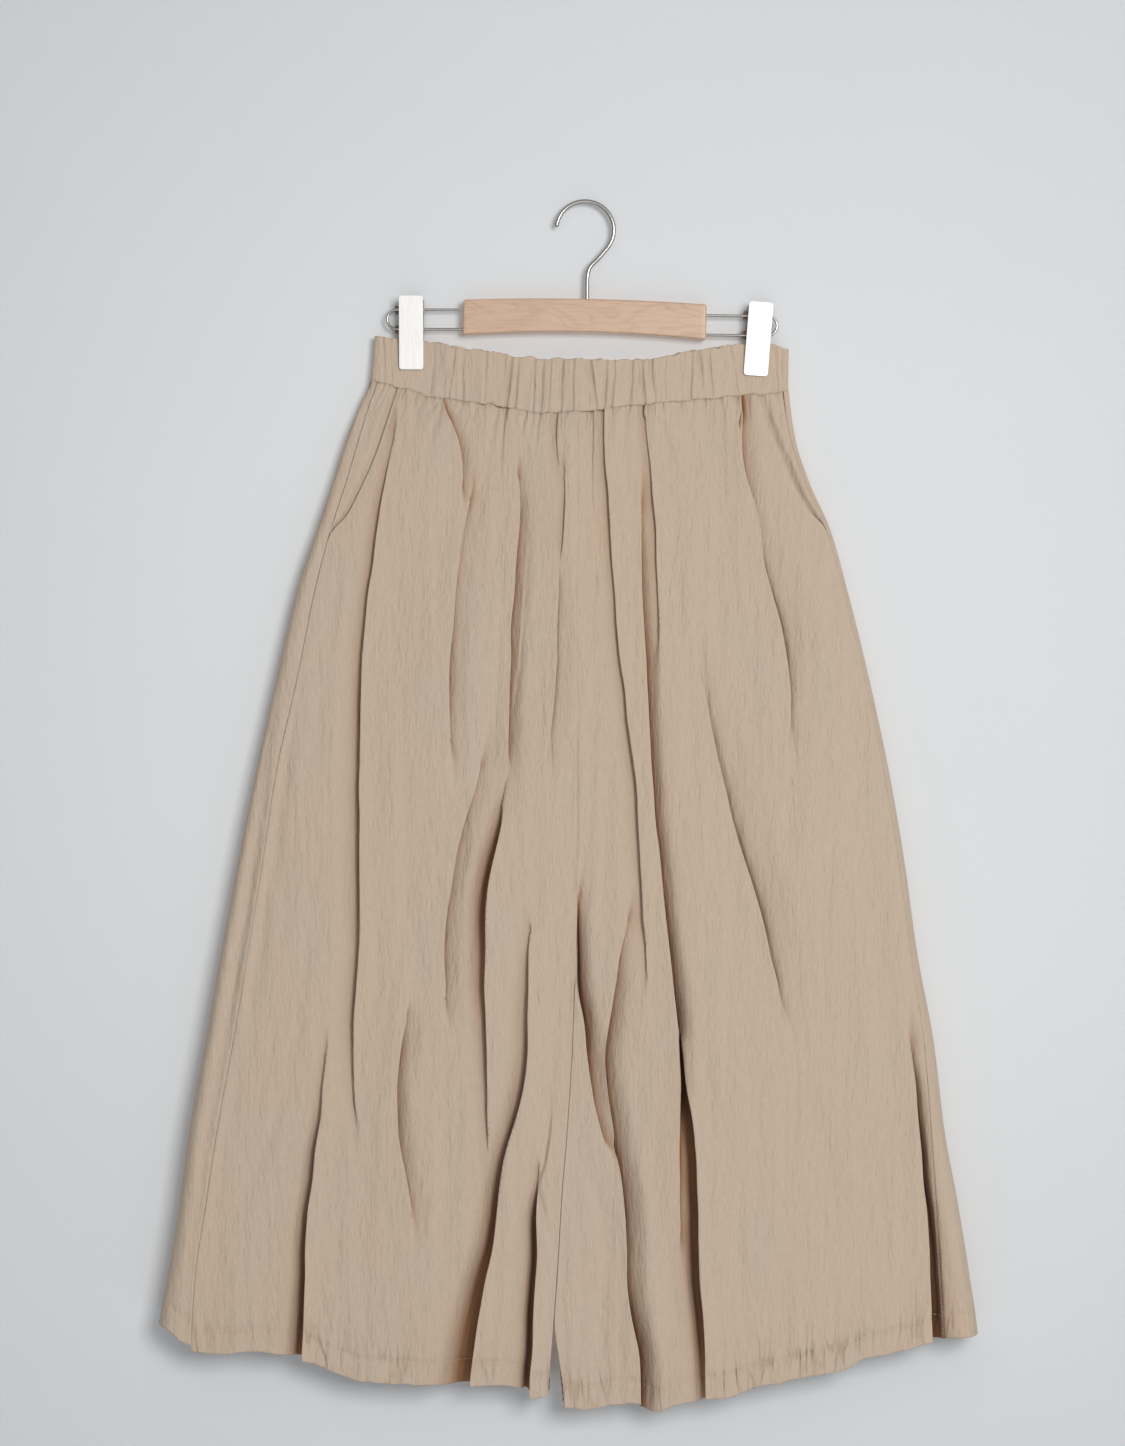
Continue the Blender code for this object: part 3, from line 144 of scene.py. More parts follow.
# Folds of the body. sharp is the width of the step under the lip, soft the run back to
# the face. A path's share is the fold's lap, its depth as a share of the half depth:
# positive with the cloth on its left on top, else with that on its right.
Fold = namedtuple("Fold", "name sharp soft path")
FRONT_LEFT_FOLDS = lines(Fold,
    ("knee", 26, 100, (-2040, -6652, 0), (-2056, -6788, -15), (-2088, -7172, -35),
     (-2144, -7628, -50), (-2200, -8060, -62), (-2216, -8484, -65), (-2228, -8700, -65),
     (-2232, -8932, -65), (-2248, -9172, -65), (-2256, -9412, -60)),
    ("hip", 30, 200, (-1488, -1532, 0), (-1512, -1772, -25), (-1562, -2092, -50),
     (-1611, -2340, -55), (-1659, -2612, -55), (-1698, -2964, -60), (-1746, -3348, -60),
     (-1772, -3740, -60), (-1786, -4124, -58), (-1792, -5252, -55), (-1788, -5732, -55),
     (-1816, -6292, -50), (-1840, -6772, -40), (-1832, -7092, -20), (-1808, -7492, 0)),
    ("thigh_top", 22, 100, (-1176, -1572, 0), (-1152, -1628, 20), (-1080, -1700, 35),
     (-1032, -1780, 40), (-992, -1996, 45), (-976, -2148, 50), (-980, -2300, 0)),
    ("thigh", 25, 160, (-896, -2212, 0), (-912, -2332, 15), (-944, -2500, 25), (-1000, -2844, 28),
     (-1040, -3308, 38), (-1076, -3716, 55), (-1080, -3916, 60), (-1072, -4092, 40),
     (-1064, -4292, 15), (-1048, -4572, 0)),
    ("calf", 24, 120, (-1408, -6452, 0), (-1456, -6652, 35), (-1480, -6852, 50),
     (-1488, -7068, 50), (-1500, -7244, 45), (-1480, -7492, 35), (-1416, -7756, 25),
     (-1376, -8036, 8), (-1360, -8292, 0)),
    ("thigh_low", 30, 160, (-792, -4252, 0), (-816, -4452, 10), (-888, -4732, 30),
     (-976, -5012, 42), (-1040, -5332, 42), (-1080, -5580, 45), (-1112, -5812, 50),
     (-1120, -6052, 50), (-1116, -6252, 25), (-1096, -6492, 0)),
    ("main_top", 26, 140, (-544, -2068, 0), (-528, -2188, 20), (-516, -2372, 50),
     (-516, -2500, 60), (-536, -2732, 62), (-564, -3060, 62), (-592, -3444, 64),
     (-600, -3836, 64), (-612, -4316, 60), (-616, -4500, 50), (-624, -4732, 25), (-664, -4972, 0)),
    ("main", 28, 150, (-608, -4332, 0), (-616, -4572, -20), (-640, -4852, -50),
     (-680, -5052, -62), (-728, -5252, -66), (-776, -5436, -66), (-792, -5692, -66),
     (-792, -5972, -60), (-792, -6372, -50), (-784, -6772, -40), (-776, -7092, -30),
     (-768, -7412, -15), (-776, -7732, 0)),
    ("shin", 32, 180, (-440, -5772, 0), (-440, -5892, -20), (-448, -6092, -40),
     (-448, -6604, -50), (-468, -6948, -55), (-544, -7292, -60), (-584, -7412, -62),
     (-672, -7756, -64), (-712, -8164, -66), (-792, -8596, -70), (-864, -8980, -72),
     (-904, -9324, -72), (-920, -9532, -72)),
    ("inner", 22, 40, (-368, -7692, 0), (-376, -7828, -30), (-384, -8060, -60),
     (-376, -8484, -68), (-400, -8700, -68), (-424, -9132, -68), (-440, -9532, -68)),
    ("front", 24, 120, (-196, -1636, -30), (-220, -1772, -32), (-224, -1892, -32),
     (-216, -1988, -30), (-200, -2100, 0)),
    ("front_low", 24, 80, (-152, -2052, 0), (-160, -2172, -25), (-168, -2436, -40),
     (-180, -2732, -42), (-176, -2852, -30), (-160, -3052, 0)),
    ("front_soft", 64, 140, (-192, -2732, 0), (-208, -2868, 15), (-216, -3156, 35),
     (-232, -3540, 35), (-244, -3932, 28), (-283, -4316, 18), (-320, -4692, 0)))
FRONT_RIGHT_FOLDS = lines(Fold,
    ("crotch", 23, 100, (-44, -5412, 0), (-52, -5548, 20), (-68, -5732, 45), (-56, -5972, 50),
     (-40, -6252, 55), (0, -6500, 60), (16, -6772, 55), (40, -7012, 45), (88, -7252, 30),
     (160, -7492, 15), (208, -7652, 0)),
    ("inner", 30, 160, (360, -5612, 0), (328, -5764, 15), (272, -6036, 35), (212, -6380, 50),
     (168, -6652, 60), (152, -6852, 62), (160, -7052, 60), (196, -7244, 60), (248, -7564, 62),
     (296, -7908, 64), (324, -8284, 64), (336, -8660, 66), (400, -9036, 68), (444, -9260, 66),
     (440, -9532, 60)),
    ("front", 28, 140, (168, -1596, -40), (160, -1796, -50), (176, -2228, -55), (208, -2772, -56),
     (236, -3156, -56), (285, -3644, -50), (352, -4220, -45), (400, -4548, -42),
     (432, -5004, -42), (448, -5460, -40), (480, -5924, -25), (492, -6268, 0)),
    ("main", 24, 110, (448, -2132, 0), (448, -2372, 15), (448, -2732, 40), (459, -3156, 50),
     (480, -3644, 60), (508, -4028, 64), (536, -4548, 64), (584, -5172, 62), (632, -5612, 60),
     (680, -6052, 62), (712, -6380, 64), (744, -6772, 66), (752, -7244, 60), (752, -7564, 45),
     (744, -7972, 25), (760, -8372, 0)),
    ("shin", 26, 60, (744, -6492, 0), (760, -6692, -20), (784, -6852, -45), (820, -7148, -60),
     (864, -7396, -66), (892, -7716, -68), (896, -8092, -68), (908, -8468, -66),
     (928, -8812, -60), (948, -9116, -50), (952, -9492, -35)),
    ("waist", 26, 120, (480, -1596, -45), (480, -1764, -50), (518, -2052, -50), (544, -2380, -50),
     (566, -2668, -45), (576, -3060, -34), (584, -3444, -16), (568, -3812, -5), (552, -4212, 0)),
    ("thigh", 70, 260, (856, -3492, 0), (896, -3668, 10), (960, -3932, 18), (1008, -4220, 30),
     (1072, -4548, 42), (1160, -4892, 48), (1248, -5188, 50), (1360, -5532, 48),
     (1456, -5924, 42), (1544, -6380, 20), (1608, -6692, 0)),
    ("hip_top", 26, 140, (1224, -1516, 30), (1264, -1644, 50), (1245, -1892, 55),
     (1272, -2148, 50), (1332, -2476, 35), (1376, -2732, 20), (1432, -2972, 0)),
    ("hip", 64, 260, (1272, -2092, 0), (1332, -2476, 22), (1390, -2772, 40), (1467, -3060, 50),
     (1544, -3348, 50), (1600, -3644, 46), (1628, -3932, 36), (1624, -4212, 20), (1640, -4612, 0)),
    ("side", 26, 35, (2560, -6452, 0), (2584, -6692, 10), (2608, -6972, 30), (2648, -7412, 45),
     (2688, -7852, 50), (2720, -8292, 52), (2744, -8772, 50), (2752, -9092, 45)))
BACK_LEFT_FOLDS = lines(Fold,
    ("back_hip", 40, 200, (-1350, -1600, 30), (-1560, -2600, 45), (-1800, -4200, 40),
     (-2050, -6500, 30), (-2260, -9300, 45)),
    ("back_thigh", 35, 180, (-880, -1600, -25), (-980, -3000, -50), (-1150, -5200, -45),
     (-1360, -7400, -35), (-1480, -9300, -55)),
    ("back_seat", 35, 160, (-420, -1600, 30), (-480, -3300, 45), (-640, -5200, 20),
     (-760, -7000, 45), (-860, -9300, 60)))
BACK_RIGHT_FOLDS = lines(Fold,
    ("back_seat", 35, 160, (300, -1600, -30), (360, -3600, -45), (500, -5600, -25),
     (560, -7400, -50), (600, -9300, -60)),
    ("back_thigh", 35, 180, (780, -1570, 25), (880, -2900, 50), (1020, -5000, 40),
     (1220, -7200, 40), (1320, -9300, 55)),
    ("back_hip", 40, 200, (1240, -1550, -30), (1430, -2700, -45), (1700, -4500, -40),
     (1950, -6800, -35), (2100, -9300, -50)))
FOLDS = {
    "left": {"front": FRONT_LEFT_FOLDS, "back": BACK_LEFT_FOLDS},
    "right": {"front": FRONT_RIGHT_FOLDS, "back": BACK_RIGHT_FOLDS},
}

# ---------------------------------------------------------------- tables of the looks

# Width of the open recess under a lip by height, for the folds that show one.
GAPS = {
    ("left", "shin"): rows((-6000, 6), (-7400, 14), (-8200, 35), (-9000, 80), (-9500, 100)),
    ("left", "knee"): rows((-7000, 2), (-8200, 18), (-9000, 35), (-9500, 55)),
    ("left", "inner"): rows((-7800, 4), (-8300, 26), (-9500, 30)),
    ("left", "main"): rows((-4600, 6), (-5300, 30), (-6000, 34), (-7000, 8)),
    ("left", "hip"): rows((-1800, 2), (-3000, 9), (-6000, 9), (-7000, 4)),
    ("right", "shin"): rows((-6700, 6), (-7400, 36), (-8500, 44), (-9400, 30)),
    ("right", "main"): rows((-3000, 4), (-6000, 6), (-6800, 14), (-7500, 6)),
    ("right", "side"): rows((-6600, 6), (-7800, 22), (-9000, 65), (-9500, 80)),
    ("right", "inner"): rows((-6000, 4), (-6800, 8), (-8000, 6), (-9300, 16)),
    ("right", "crotch"): rows((-6000, 2), (-6600, 8), (-7200, 2)),
}
NO_GAP = ((-0.1, 0.0), (-1.0, 0.0))

# Small creases of the front: the drop of each, and where it runs.
Crease = namedtuple("Crease", "drop path")
CREASES = {
    "left": lines(Crease,
        (14, (-1400, -1476, 90), (-1392, -1556, 80), (-1388, -1652, 50), (-1384, -1764, 0)),
        (20, (-624, -1604, -100), (-636, -1692, -100), (-648, -1892, -60), (-660, -2068, -30),
         (-664, -2252, 0)),
        (16, (-98, -1668, 90), (-92, -1772, 70), (-80, -1900, 50), (-72, -2068, 0)),
        (12, (-344, -1668, 80), (-352, -1772, 60), (-360, -1892, 0)),
        (12, (-432, -2572, 0), (-448, -2732, 60), (-488, -3060, 80), (-516, -3540, 70),
         (-552, -3908, 50), (-576, -4132, 0)),
        (26, (-264, -7172, 0), (-264, -7316, -60), (-316, -7580, -100), (-336, -7828, -90),
         (-304, -8036, -40), (-272, -8172, 0)),
        (14, (-840, -5772, 0), (-864, -5876, 50), (-960, -6132, 60), (-1048, -6356, 30),
         (-1096, -6492, 0)),
        (12, (-952, -1556, 60), (-952, -1620, 50), (-952, -1716, 0)),
        (12, (-792, -1588, -60), (-792, -1668, -50), (-800, -1812, 0))),
    "right": lines(Crease,
        (22, (62, -1596, -100), (62, -1812, -100), (64, -2132, -70), (72, -2452, -35),
         (80, -2732, 0)),
        (14, (944, -1548, 80), (960, -1732, 60), (973, -1860, 30), (984, -2012, 0)),
        (14, (568, -1556, 80), (576, -1668, 60), (588, -1812, 0)),
        (12, (328, -1596, 70), (336, -1700, 50), (344, -1844, 0)),
        (12, (840, -1556, 70), (840, -1668, 50), (848, -1812, 0)),
        (12, (1096, -1508, -70), (1104, -1612, -50), (1120, -1772, 0)),
        (12, (-152, -7292, 0), (-152, -7436, 50), (-144, -7732, 50), (-128, -8092, 0))),
}

# Broad soft hollows (height under zero) and ridges of the front.
Swell = namedtuple("Swell", "width height path")
SWELLS = {
    "left": lines(Swell,
        (55, -18, (-2408, -3492, 0), (-2472, -3972, 50), (-2648, -5356, 100), (-2864, -6732, 100),
         (-2992, -7572, 90), (-3112, -8372, 70), (-3160, -8772, 30)),
        (60, -14, (-2280, -3492, 0), (-2312, -3972, 40), (-2520, -5356, 90), (-2712, -6732, 80),
         (-2856, -7572, 60), (-2968, -8372, 30), (-3016, -8772, 0)),
        (50, -10, (-2368, -3700, 0), (-2480, -4108, 50), (-2584, -4660, 90), (-2664, -5260, 100),
         (-2736, -5716, 100), (-2816, -6220, 100), (-2896, -6684, 100), (-2992, -7268, 90),
         (-3056, -7628, 70), (-3112, -8100, 40), (-3160, -8452, 0)),
        (45, -9, (-2312, -3972, 0), (-2376, -4452, 60), (-2464, -5260, 100), (-2536, -5716, 90),
         (-2616, -6220, 60), (-2688, -6684, 0)),
        (55, -11, (-1832, -3172, 0), (-1844, -3348, 70), (-1896, -3652, 100), (-1944, -3972, 80),
         (-1968, -4212, 0)),
        (50, -12, (-640, -3012, 0), (-672, -3348, 60), (-700, -3836, 100), (-728, -4124, 100),
         (-787, -4436, 80), (-840, -4692, 0)),
        (60, -10, (-2184, -5572, 0), (-2200, -5916, 70), (-2256, -6372, 80), (-2312, -6724, 100),
         (-2496, -7412, 100), (-2584, -7652, 100), (-2656, -7804, 80), (-2712, -8092, 0)),
        (50, 10, (-1464, -6052, 0), (-1464, -6260, 80), (-1528, -6692, 100), (-1600, -7180, 100),
         (-1632, -7628, 100), (-1648, -8060, 50), (-1656, -8372, 0)),
        (50, 10, (-1224, -6852, 0), (-1224, -7172, 70), (-1224, -7972, 100), (-1208, -8772, 80),
         (-1192, -9252, 30)),
        (50, -12, (-1712, -5332, 0), (-1688, -5572, 60), (-1648, -5916, 100), (-1672, -6260, 80),
         (-1704, -6532, 0)),
        (48, -11, (-920, -6852, 0), (-896, -7052, 80), (-832, -7252, 100), (-768, -7476, 80),
         (-744, -7732, 0)),
        (60, -11, (-1848, -6852, 0), (-1856, -7092, 100), (-1832, -7332, 80), (-1824, -7572, 0)),
        (65, -10, (-2040, -7492, 0), (-2008, -7812, 70), (-1976, -8132, 60), (-1960, -8452, 0)),
        (70, -9, (-1320, -5572, 0), (-1336, -5892, 60), (-1288, -6252, 50), (-1288, -6452, 0)),
        (50, -12, (-1288, -6292, 0), (-1312, -6444, 90), (-1352, -6772, 90), (-1368, -6972, 0)),
        (45, -9, (-1528, -8172, 0), (-1512, -8292, 100), (-1544, -8452, 60), (-1560, -8612, 0)),
        (60, -10, (-2120, -8692, 0), (-2072, -8852, 80), (-2000, -8996, 80), (-1920, -9132, 0)),
        (65, -9, (-1400, -3972, 0), (-1416, -4452, 80), (-1448, -4932, 80), (-1464, -5412, 0)),
        (60, 8, (-1240, -2212, 0), (-1256, -2852, 80), (-1280, -3492, 80), (-1288, -4132, 0)),
        (65, -8, (-1224, -1892, 0), (-1240, -2372, 70), (-1304, -2852, 60), (-1336, -3332, 0)),
        (45, 6, (-320, -4452, 0), (-296, -4932, 90), (-304, -5572, 90), (-320, -6052, 0)),
        (40, -8, (-272, -5412, 0), (-264, -6052, 90), (-232, -6452, 90), (-256, -6852, 0)),
        (45, 9, (-608, -7332, 0), (-584, -7812, 90), (-624, -8452, 100), (-680, -9092, 80),
         (-704, -9492, 60)),
        (40, -6, (-1032, -8212, 0), (-1064, -8692, 90), (-1088, -9172, 90), (-1096, -9452, 60)),
        (80, -10, (-1968, -2852, 0), (-2040, -3492, 80), (-2120, -4132, 80), (-2216, -4772, 50),
         (-2280, -5252, 0)),
        (36, -7, (-1376, -2012, 0), (-1392, -2532, 60), (-1408, -3012, 0))),
    "right": lines(Swell,
        (48, -13, (-16, -7492, 0), (16, -7644, 100), (76, -7868, 100), (152, -8188, 90),
         (168, -8468, 80), (133, -8812, 80), (152, -9228, 90), (176, -9572, 60)),
        (42, -8, (-80, -7892, 0), (-40, -8292, 80), (-24, -8772, 80), (-40, -9252, 30),
         (-40, -9492, 0)),
        (60, 10, (440, -7332, 0), (488, -7812, 90), (520, -8452, 90), (560, -9012, 70),
         (584, -9492, 40)),
        (50, -10, (632, -7812, 0), (664, -8212, 60), (696, -8692, 80), (792, -9036, 80),
         (824, -9412, 50)),
        (60, 9, (848, -2132, 0), (848, -2532, 80), (856, -3156, 90), (872, -3492, 50),
         (888, -3732, 0)),
        (55, -8, (744, -2372, 0), (736, -2852, 70), (760, -3492, 70), (792, -3972, 0)),
        (60, -9, (1720, -3892, 0), (1672, -4292, 80), (1640, -4692, 100), (1624, -5092, 90),
         (1608, -5412, 0)),
        (70, -8, (2360, -5572, 0), (2328, -6052, 70), (2360, -6532, 80), (2408, -7012, 0)),
        (60, -9, (920, -6452, 0), (960, -6772, 80), (1016, -7172, 70), (1048, -7652, 0)),
        (55, 9, (1016, -6372, 0), (1048, -6852, 60), (1064, -7492, 90), (1080, -8372, 90),
         (1096, -9092, 70)),
        (50, -9, (1224, -7812, 0), (1240, -8292, 70), (1256, -8852, 90), (1304, -9172, 80),
         (1336, -9412, 40)),
        (80, -10, (1720, -7012, 0), (1864, -7412, 70), (1960, -7892, 70), (2008, -8372, 0)),
        (60, -8, (1608, -8692, 0), (1592, -8932, 80), (1584, -9172, 90), (1576, -9412, 50)),
        (40, -7, (128, -4932, 0), (144, -5252, 80), (152, -5652, 80), (144, -6052, 0)),
        (45, 7, (224, -4612, 0), (240, -5092, 80), (232, -5572, 80), (216, -5972, 0)),
        (42, -7, (920, -5412, 0), (936, -5732, 80), (960, -6212, 80), (952, -6532, 0)),
        (90, -10, (1816, -3332, 0), (1864, -3812, 70), (1928, -4292, 70), (1976, -4772, 0)),
        (70, 9, (2080, -5252, 0), (2120, -5892, 70), (2184, -6532, 70), (2216, -7172, 0)),
        (42, -6, (264, -7652, 0), (216, -7972, 70), (240, -8452, 80), (264, -8932, 60),
         (296, -9412, 40))),
}

# Broad unevenness of the cloth: across and along in metres, height, seed.
Waves = namedtuple("Waves", "across along height seed")
PANEL_WAVES = (
    Waves(0.034, 0.190, 0.0011, 3),
    Waves(0.015, 0.110, 0.0005, 5),
    Waves(0.0065, 0.050, 0.00016, 7),
)

# ---------------------------------------------------------------- sizes of the cloth

TOWARD = {"left": 1.0, "right": -1.0}     # from a side of the garment to its middle
PANEL_SEEDS = {"front_left": 100, "front_right": 200, "back_left": 300, "back_right": 400}
POCKET_SEED = 500
BAND_SEEDS = {"front": 41, "back": 43}
LEVELS = np.linspace(-0.138, -0.975, 240)
FINE_LEVELS = np.linspace(-0.120, -0.990, 700)
SHELL = 0.0010            # thickness of a cloth shell
SEAM_GAP = 0.0003
BAND_SEAM_GAP = -0.0004
HEM_DEPTH = 0.0180        # from a hem's stitches to its edge
FRONT_GRID = (172, 284)   # rows and columns of a front panel
BACK_GRID = (150, 130)
BACK_STEPS = (14, 18)     # columns round a back panel's corner and on its strip in front
POCKET_GRID = (60, 42)
INNER_STEPS = 12
FOLD_CROWD = (7.0, 2.2)   # crowding of columns at a fold: weight, width in sharp runs
CREASE_CROWD = (3.0, 0.004)               # and at a crease and two edges: weight, width
OUTER_CROWD = (5.0, 0.003)
CORNER_CROWD = (3.0, 0.004)
ROW_CROWD = ((2.2, 0.05), (3.2, 0.035))   # crowding of rows at the band and at the hem
EDGE_POWER = 2.7          # fullness of the pressed side edges
INNER_SHARE = 0.06        # radius of a shell's inner edge, as a share of the solid's
CALM_EDGE = 0.006         # run over which the small relief dies out at an edge
SLIDE_EDGE = 0.010        # and the slide of the folds

CROTCH_TOP = -0.500
CROTCH_POINT = -0.560
LEG_SPLIT = -0.883        # below this the two inner edges swing apart
LEG_SPREAD = {"left": -0.0048, "right": 0.0082}
LEG_DROP = 0.075
LEG_TOUCH = -0.0003       # half the gap between the legs' inner edges
PUFF_BELOW_BAND = 0.0008
BLEND_BELOW_BAND = 0.060

POCKET_UNDERLAP = 0.008
POCKET_TUCK = 0.0032      # how far the hip piece dives under the opening's edge
POCKET_TUCK_SHARE = 0.72
POCKET_TUCK_LEAN = 0.3
POCKET_TUCK_RUN = 0.0050
POCKET_TUCK_LEAD = 0.0025
POCKET_LEVEL_SHARE = 0.9  # share of the opening over which it does so
POCKET_TAIL = 0.006       # how far the hip piece runs on below the opening

FOLD_RIDGE = 0.12         # how far a lip stands proud, as a share of its lap
RIDGE_WIDTH = 0.008
RELIEF_LIMITS = (0.28, 1.12)
LIP_SIGMA = 0.95          # half width of a lip's turn, as a share of the fold's sharp run
LIP_TUCK = 1.80           # how far a lip reaches over what lies under it, in half widths
TUCK_DEPTH = 0.0035       # least drop under a lip that is fully tucked
SOFT_FOLD = 0.006         # a fold with a sharp run over this has a soft lip
SOFT_TUCK = 0.85          # which reaches over less
FULL_LAP = 0.25           # a lap over this is fully tucked
RECESS_FAST = 0.0023      # run over which the under side first comes back up
GAP_EASE = 0.55           # a wide recess comes up this much more slowly, for each metre of it
RECESS_SHARE = 0.60       # and the share of the drop that it wins there
# Amounts of painted shade that darken the cloth's colour in and beside the folds' recesses. Close
# under a lip that turns to the light, shade is painted where the lamps leave the cloth lit.
FULL_TONE = 0.60          # a lap over this has the full tone
CLOSED_TONE = 0.44        # tone of a closed fold's recess
OPEN_TONE = 0.52          # of one that is open this wide or wider
OPEN_GAP = 0.0040
SOFT_TONE = 0.10          # and of a soft fold's
CORE_TONE = 0.90          # added close under a lip that turns to the light
CORE_RUN = 0.0013
HALO_TONE = 0.10          # the softer shade that spreads out beside a recess
HALO_RUN = 0.0065
SHADE_LEAD = (0.5, 0.3)   # how early the tone starts at a lip that turns from the light, or to it
PATH_SMOOTH = (-0.016, -0.010, -0.005, 0.0, 0.005, 0.010, 0.016)
WANDER = 0.0007           # how far a fold strays from its drawn path
WANDER_RUN = 0.026
LAP_UNEVEN = 0.18
LAP_RUN = 0.05
NOISE_START = 40.0        # keeps a fold's noise off the first cells
CROWD_SPREAD = 26         # levels over which the crowding of columns comes and goes
SWELL_GAIN = 1.05
BACK_SWELL_GAIN = 1.3     # the back takes the other front's swells, mirrored
CREASE_SIGMA = 0.0010     # half width of a small crease's step
CREASE_RUN = 0.0035       # run over which it comes back up
CREASE_RIDGE = (0.25, 0.004)

RIPPLE_RUN = 0.026        # pleats that run down from the gathers of the waist seam
RIPPLE_WIDTH = 0.0013
RIPPLE_OPENS = 0.022
RIPPLE_DEPTH = 2.0
SEAM_UNEVEN = 0.0009
SEAM_ROLL = 0.0006        # how far the cloth rolls in at the waist seam
SEAM_ROLL_RUN = 0.0014
SEAM_DIP = 0.0006         # groove of the seam where the two fronts or backs meet
SEAM_DIP_WIDTH = 0.0016
USUAL_SPAN = 0.33         # width of the garment at its waist, to which its noise is scaled
WAIST_PUCKER = 0.0011
WAIST_PUCKER_RUN = 0.022
WAIST_REACH = 0.6
WAIST_REACH_RUN = 0.014
HEM_PUCKER = 0.0022
HEM_GROOVE = 0.0016
HEM_TURN = 0.0003         # how far the turned hem stands out
HEM_SCALLOP = 0.0008
HEM_FADE = 0.011          # run over which the puckers die out above the hem's stitches

BAND_LEVEL = -0.110
BAND_FALL = 0.034
BAND_WRAP = 0.006
BAND_CORNER = 0.0034
BAND_CORNER_EASE = 0.004
BAND_WALL = 0.0022
BAND_PLAY = 0.0003
BAND_GRID = (22, 420)
BAND_CREASE = 3.0         # how much deeper the shell's gathers are than the solid's
CREASE_WIDTH = 0.0011
BAND_RUFFLE = 0.0012
BAND_BEND = 0.0007        # how far the band's gathers stray
BAND_FINE = 0.00028       # its fine and its broad unevenness
BAND_BROAD = 0.0006
BAND_TURN = (30.0, 60.0, 90.0, 120.0, 150.0)   # angles round its rolled top
BACK_BAND_LIFT = 0.0008   # how much higher the back half of the band stands
BACK_BAND_RISE = 0.02
CLAMP_MARGIN = 0.001
CLAMP_EASE = 0.006
BACK_GATHER_COUNT = 26
BACK_GATHER_MARGIN = 0.012
BACK_GATHER_SHIFT = 0.0022
BACK_GATHER_LEAN = 0.0016
BACK_GATHER_DEPTH = 0.0007
BACK_GATHER_UNEVEN = 0.0002

STITCH_PITCH = 0.0034
STITCH_LENGTH = 0.0024
STITCH_RADIUS = 0.00022
STITCH_LIFT = 0.00005
SEAM_STITCH = 0.0016      # from the side seam to its row of stitches
SEAM_STITCH_LOW = -0.95

# ---------------------------------------------------------------- sizes of the hanger

WIRE_SIDES = 20
HOOK_RADIUS = 0.0230
HOOK_WIRE = 0.00175
HOOK_TIP_ANGLE = 170.0
HOOK_TURN_ANGLE = -38.0
HOOK_SWELL = 0.06         # how much thicker its tip is
HOOK_FOOT = rows(
    (104, -444), (48, -500), (26, -545), (17, -610), (16, -700), (16, -890))

BAR_LENGTH = 0.1944
BAR_HEIGHT = 0.0280
BAR_DEPTH = 0.0120
BAR_TOP_RISE = 0.0026
BAR_BOTTOM_RISE = 0.0040
BAR_TILT = 1.156
BAR_CENTRE = (-0.0003, 0.0, -0.0934)
BAR_ROUND = 0.0016
BAR_STEPS = (72, 6)

ROD_WIRE = 0.0011
ROD_SPACING = 0.0156
ROD_SEAT = 0.018
Rod = namedtuple("Rod", "bar_z turn_x turn_z")
RODS = {"left": Rod(-0.0928, -0.1504, -0.0928), "right": Rod(-0.0971, 0.1458, -0.0980)}

Clip = namedtuple("Clip", "x z tilt")
CLIPS = {"left": Clip(-0.1388, -0.0928, 0.0), "right": Clip(0.1393, -0.0979, 4.4)}
CLIP_WIDTH = 0.0193
CLIP_TOP = 0.0180
CLIP_BOTTOM = -0.0404
CLIP_CORNER = 0.0025
CLIP_SHEET = 0.0011
CLIP_PINCH = 0.0040       # inner face of a jaw at its pad
CLIP_MOUTH = 0.0088       # inner face of a jaw at its top
CLIP_BEND = -0.0280       # below this a jaw stands upright
CLIP_PLAY = 0.0003        # between a clip's pieces, and from its pads to the band
EAR_SHEET = 0.0010
EAR_INSET = 0.0016
EAR_HEIGHT = 0.0250
EAR_REACH = 0.0034        # how far an ear reaches back past the rods
EAR_LAP = 0.0004          # how far it runs into its jaw
LUG_HEIGHT = 0.0064
LUG_REACH = 0.0026        # how far a back jaw's lug reaches past the pin
LUG_LAP = 0.0006
GUIDE_REACH = 0.0036      # how far a back jaw's guides stand out beside it, behind the rods
GUIDE_HALF = 0.0032
GUIDE_PLAY = 0.0005
GUIDE_LAP = 0.0012
PIN_RADIUS = 0.0010
SPRING_LENGTH = 0.0110
SPRING_TURNS = 6.0
SPRING_STEPS = 132
SPRING_WIND = 0.00215     # radius of the coil at the middle of its wire
SPRING_WIRE = 0.00048
PAD_HEIGHT = 0.0090
PAD_WIDTH = 0.0165
PAD_INSET = 0.0012        # from the jaw's lower edge
PAD_RIBS = 6
PAD_GROOVE = 0.00015
JAW_BEVEL = 0.00028
PIN_BEVEL = 0.0002
PAD_BEVEL = 0.00018
BEVEL_ANGLE = 35.0

# ---------------------------------------------------------------- colours and light

BLACK = (0.0, 0.0, 0.0)
WHITE = (1.0, 1.0, 1.0)
CLOTH = (0.520, 0.412, 0.316)
# Painted shade of the cloth in a fold: warm brown, from its edge to its depth, standing in for the
# shade that falls there.
PAINTED_FOLD_SHADE = ((0.0, WHITE), (0.5, (0.60, 0.385, 0.25)), (1.0, (0.20, 0.105, 0.055)))
# Painted shade along the lines of the puckers at the hems and under the waist seam.
PAINTED_PUCKER_SHADE = (0.86, 0.81, 0.76)
BEECH = (0.580, 0.391, 0.273)
WALL_COLOUR = (0.690, 0.705, 0.718)
FLOOR_COLOUR = (0.640, 0.650, 0.660)
# Painted shade on the wall: its colour darkens outwards from its middle, as the light falls off.
WALL_FALLOFF_CENTRE = (-0.02, 0.0, 0.42)          # the wall's middle, from which it darkens outwards
PAINTED_WALL_FALLOFF = (0.89, 0.89, 0.90)

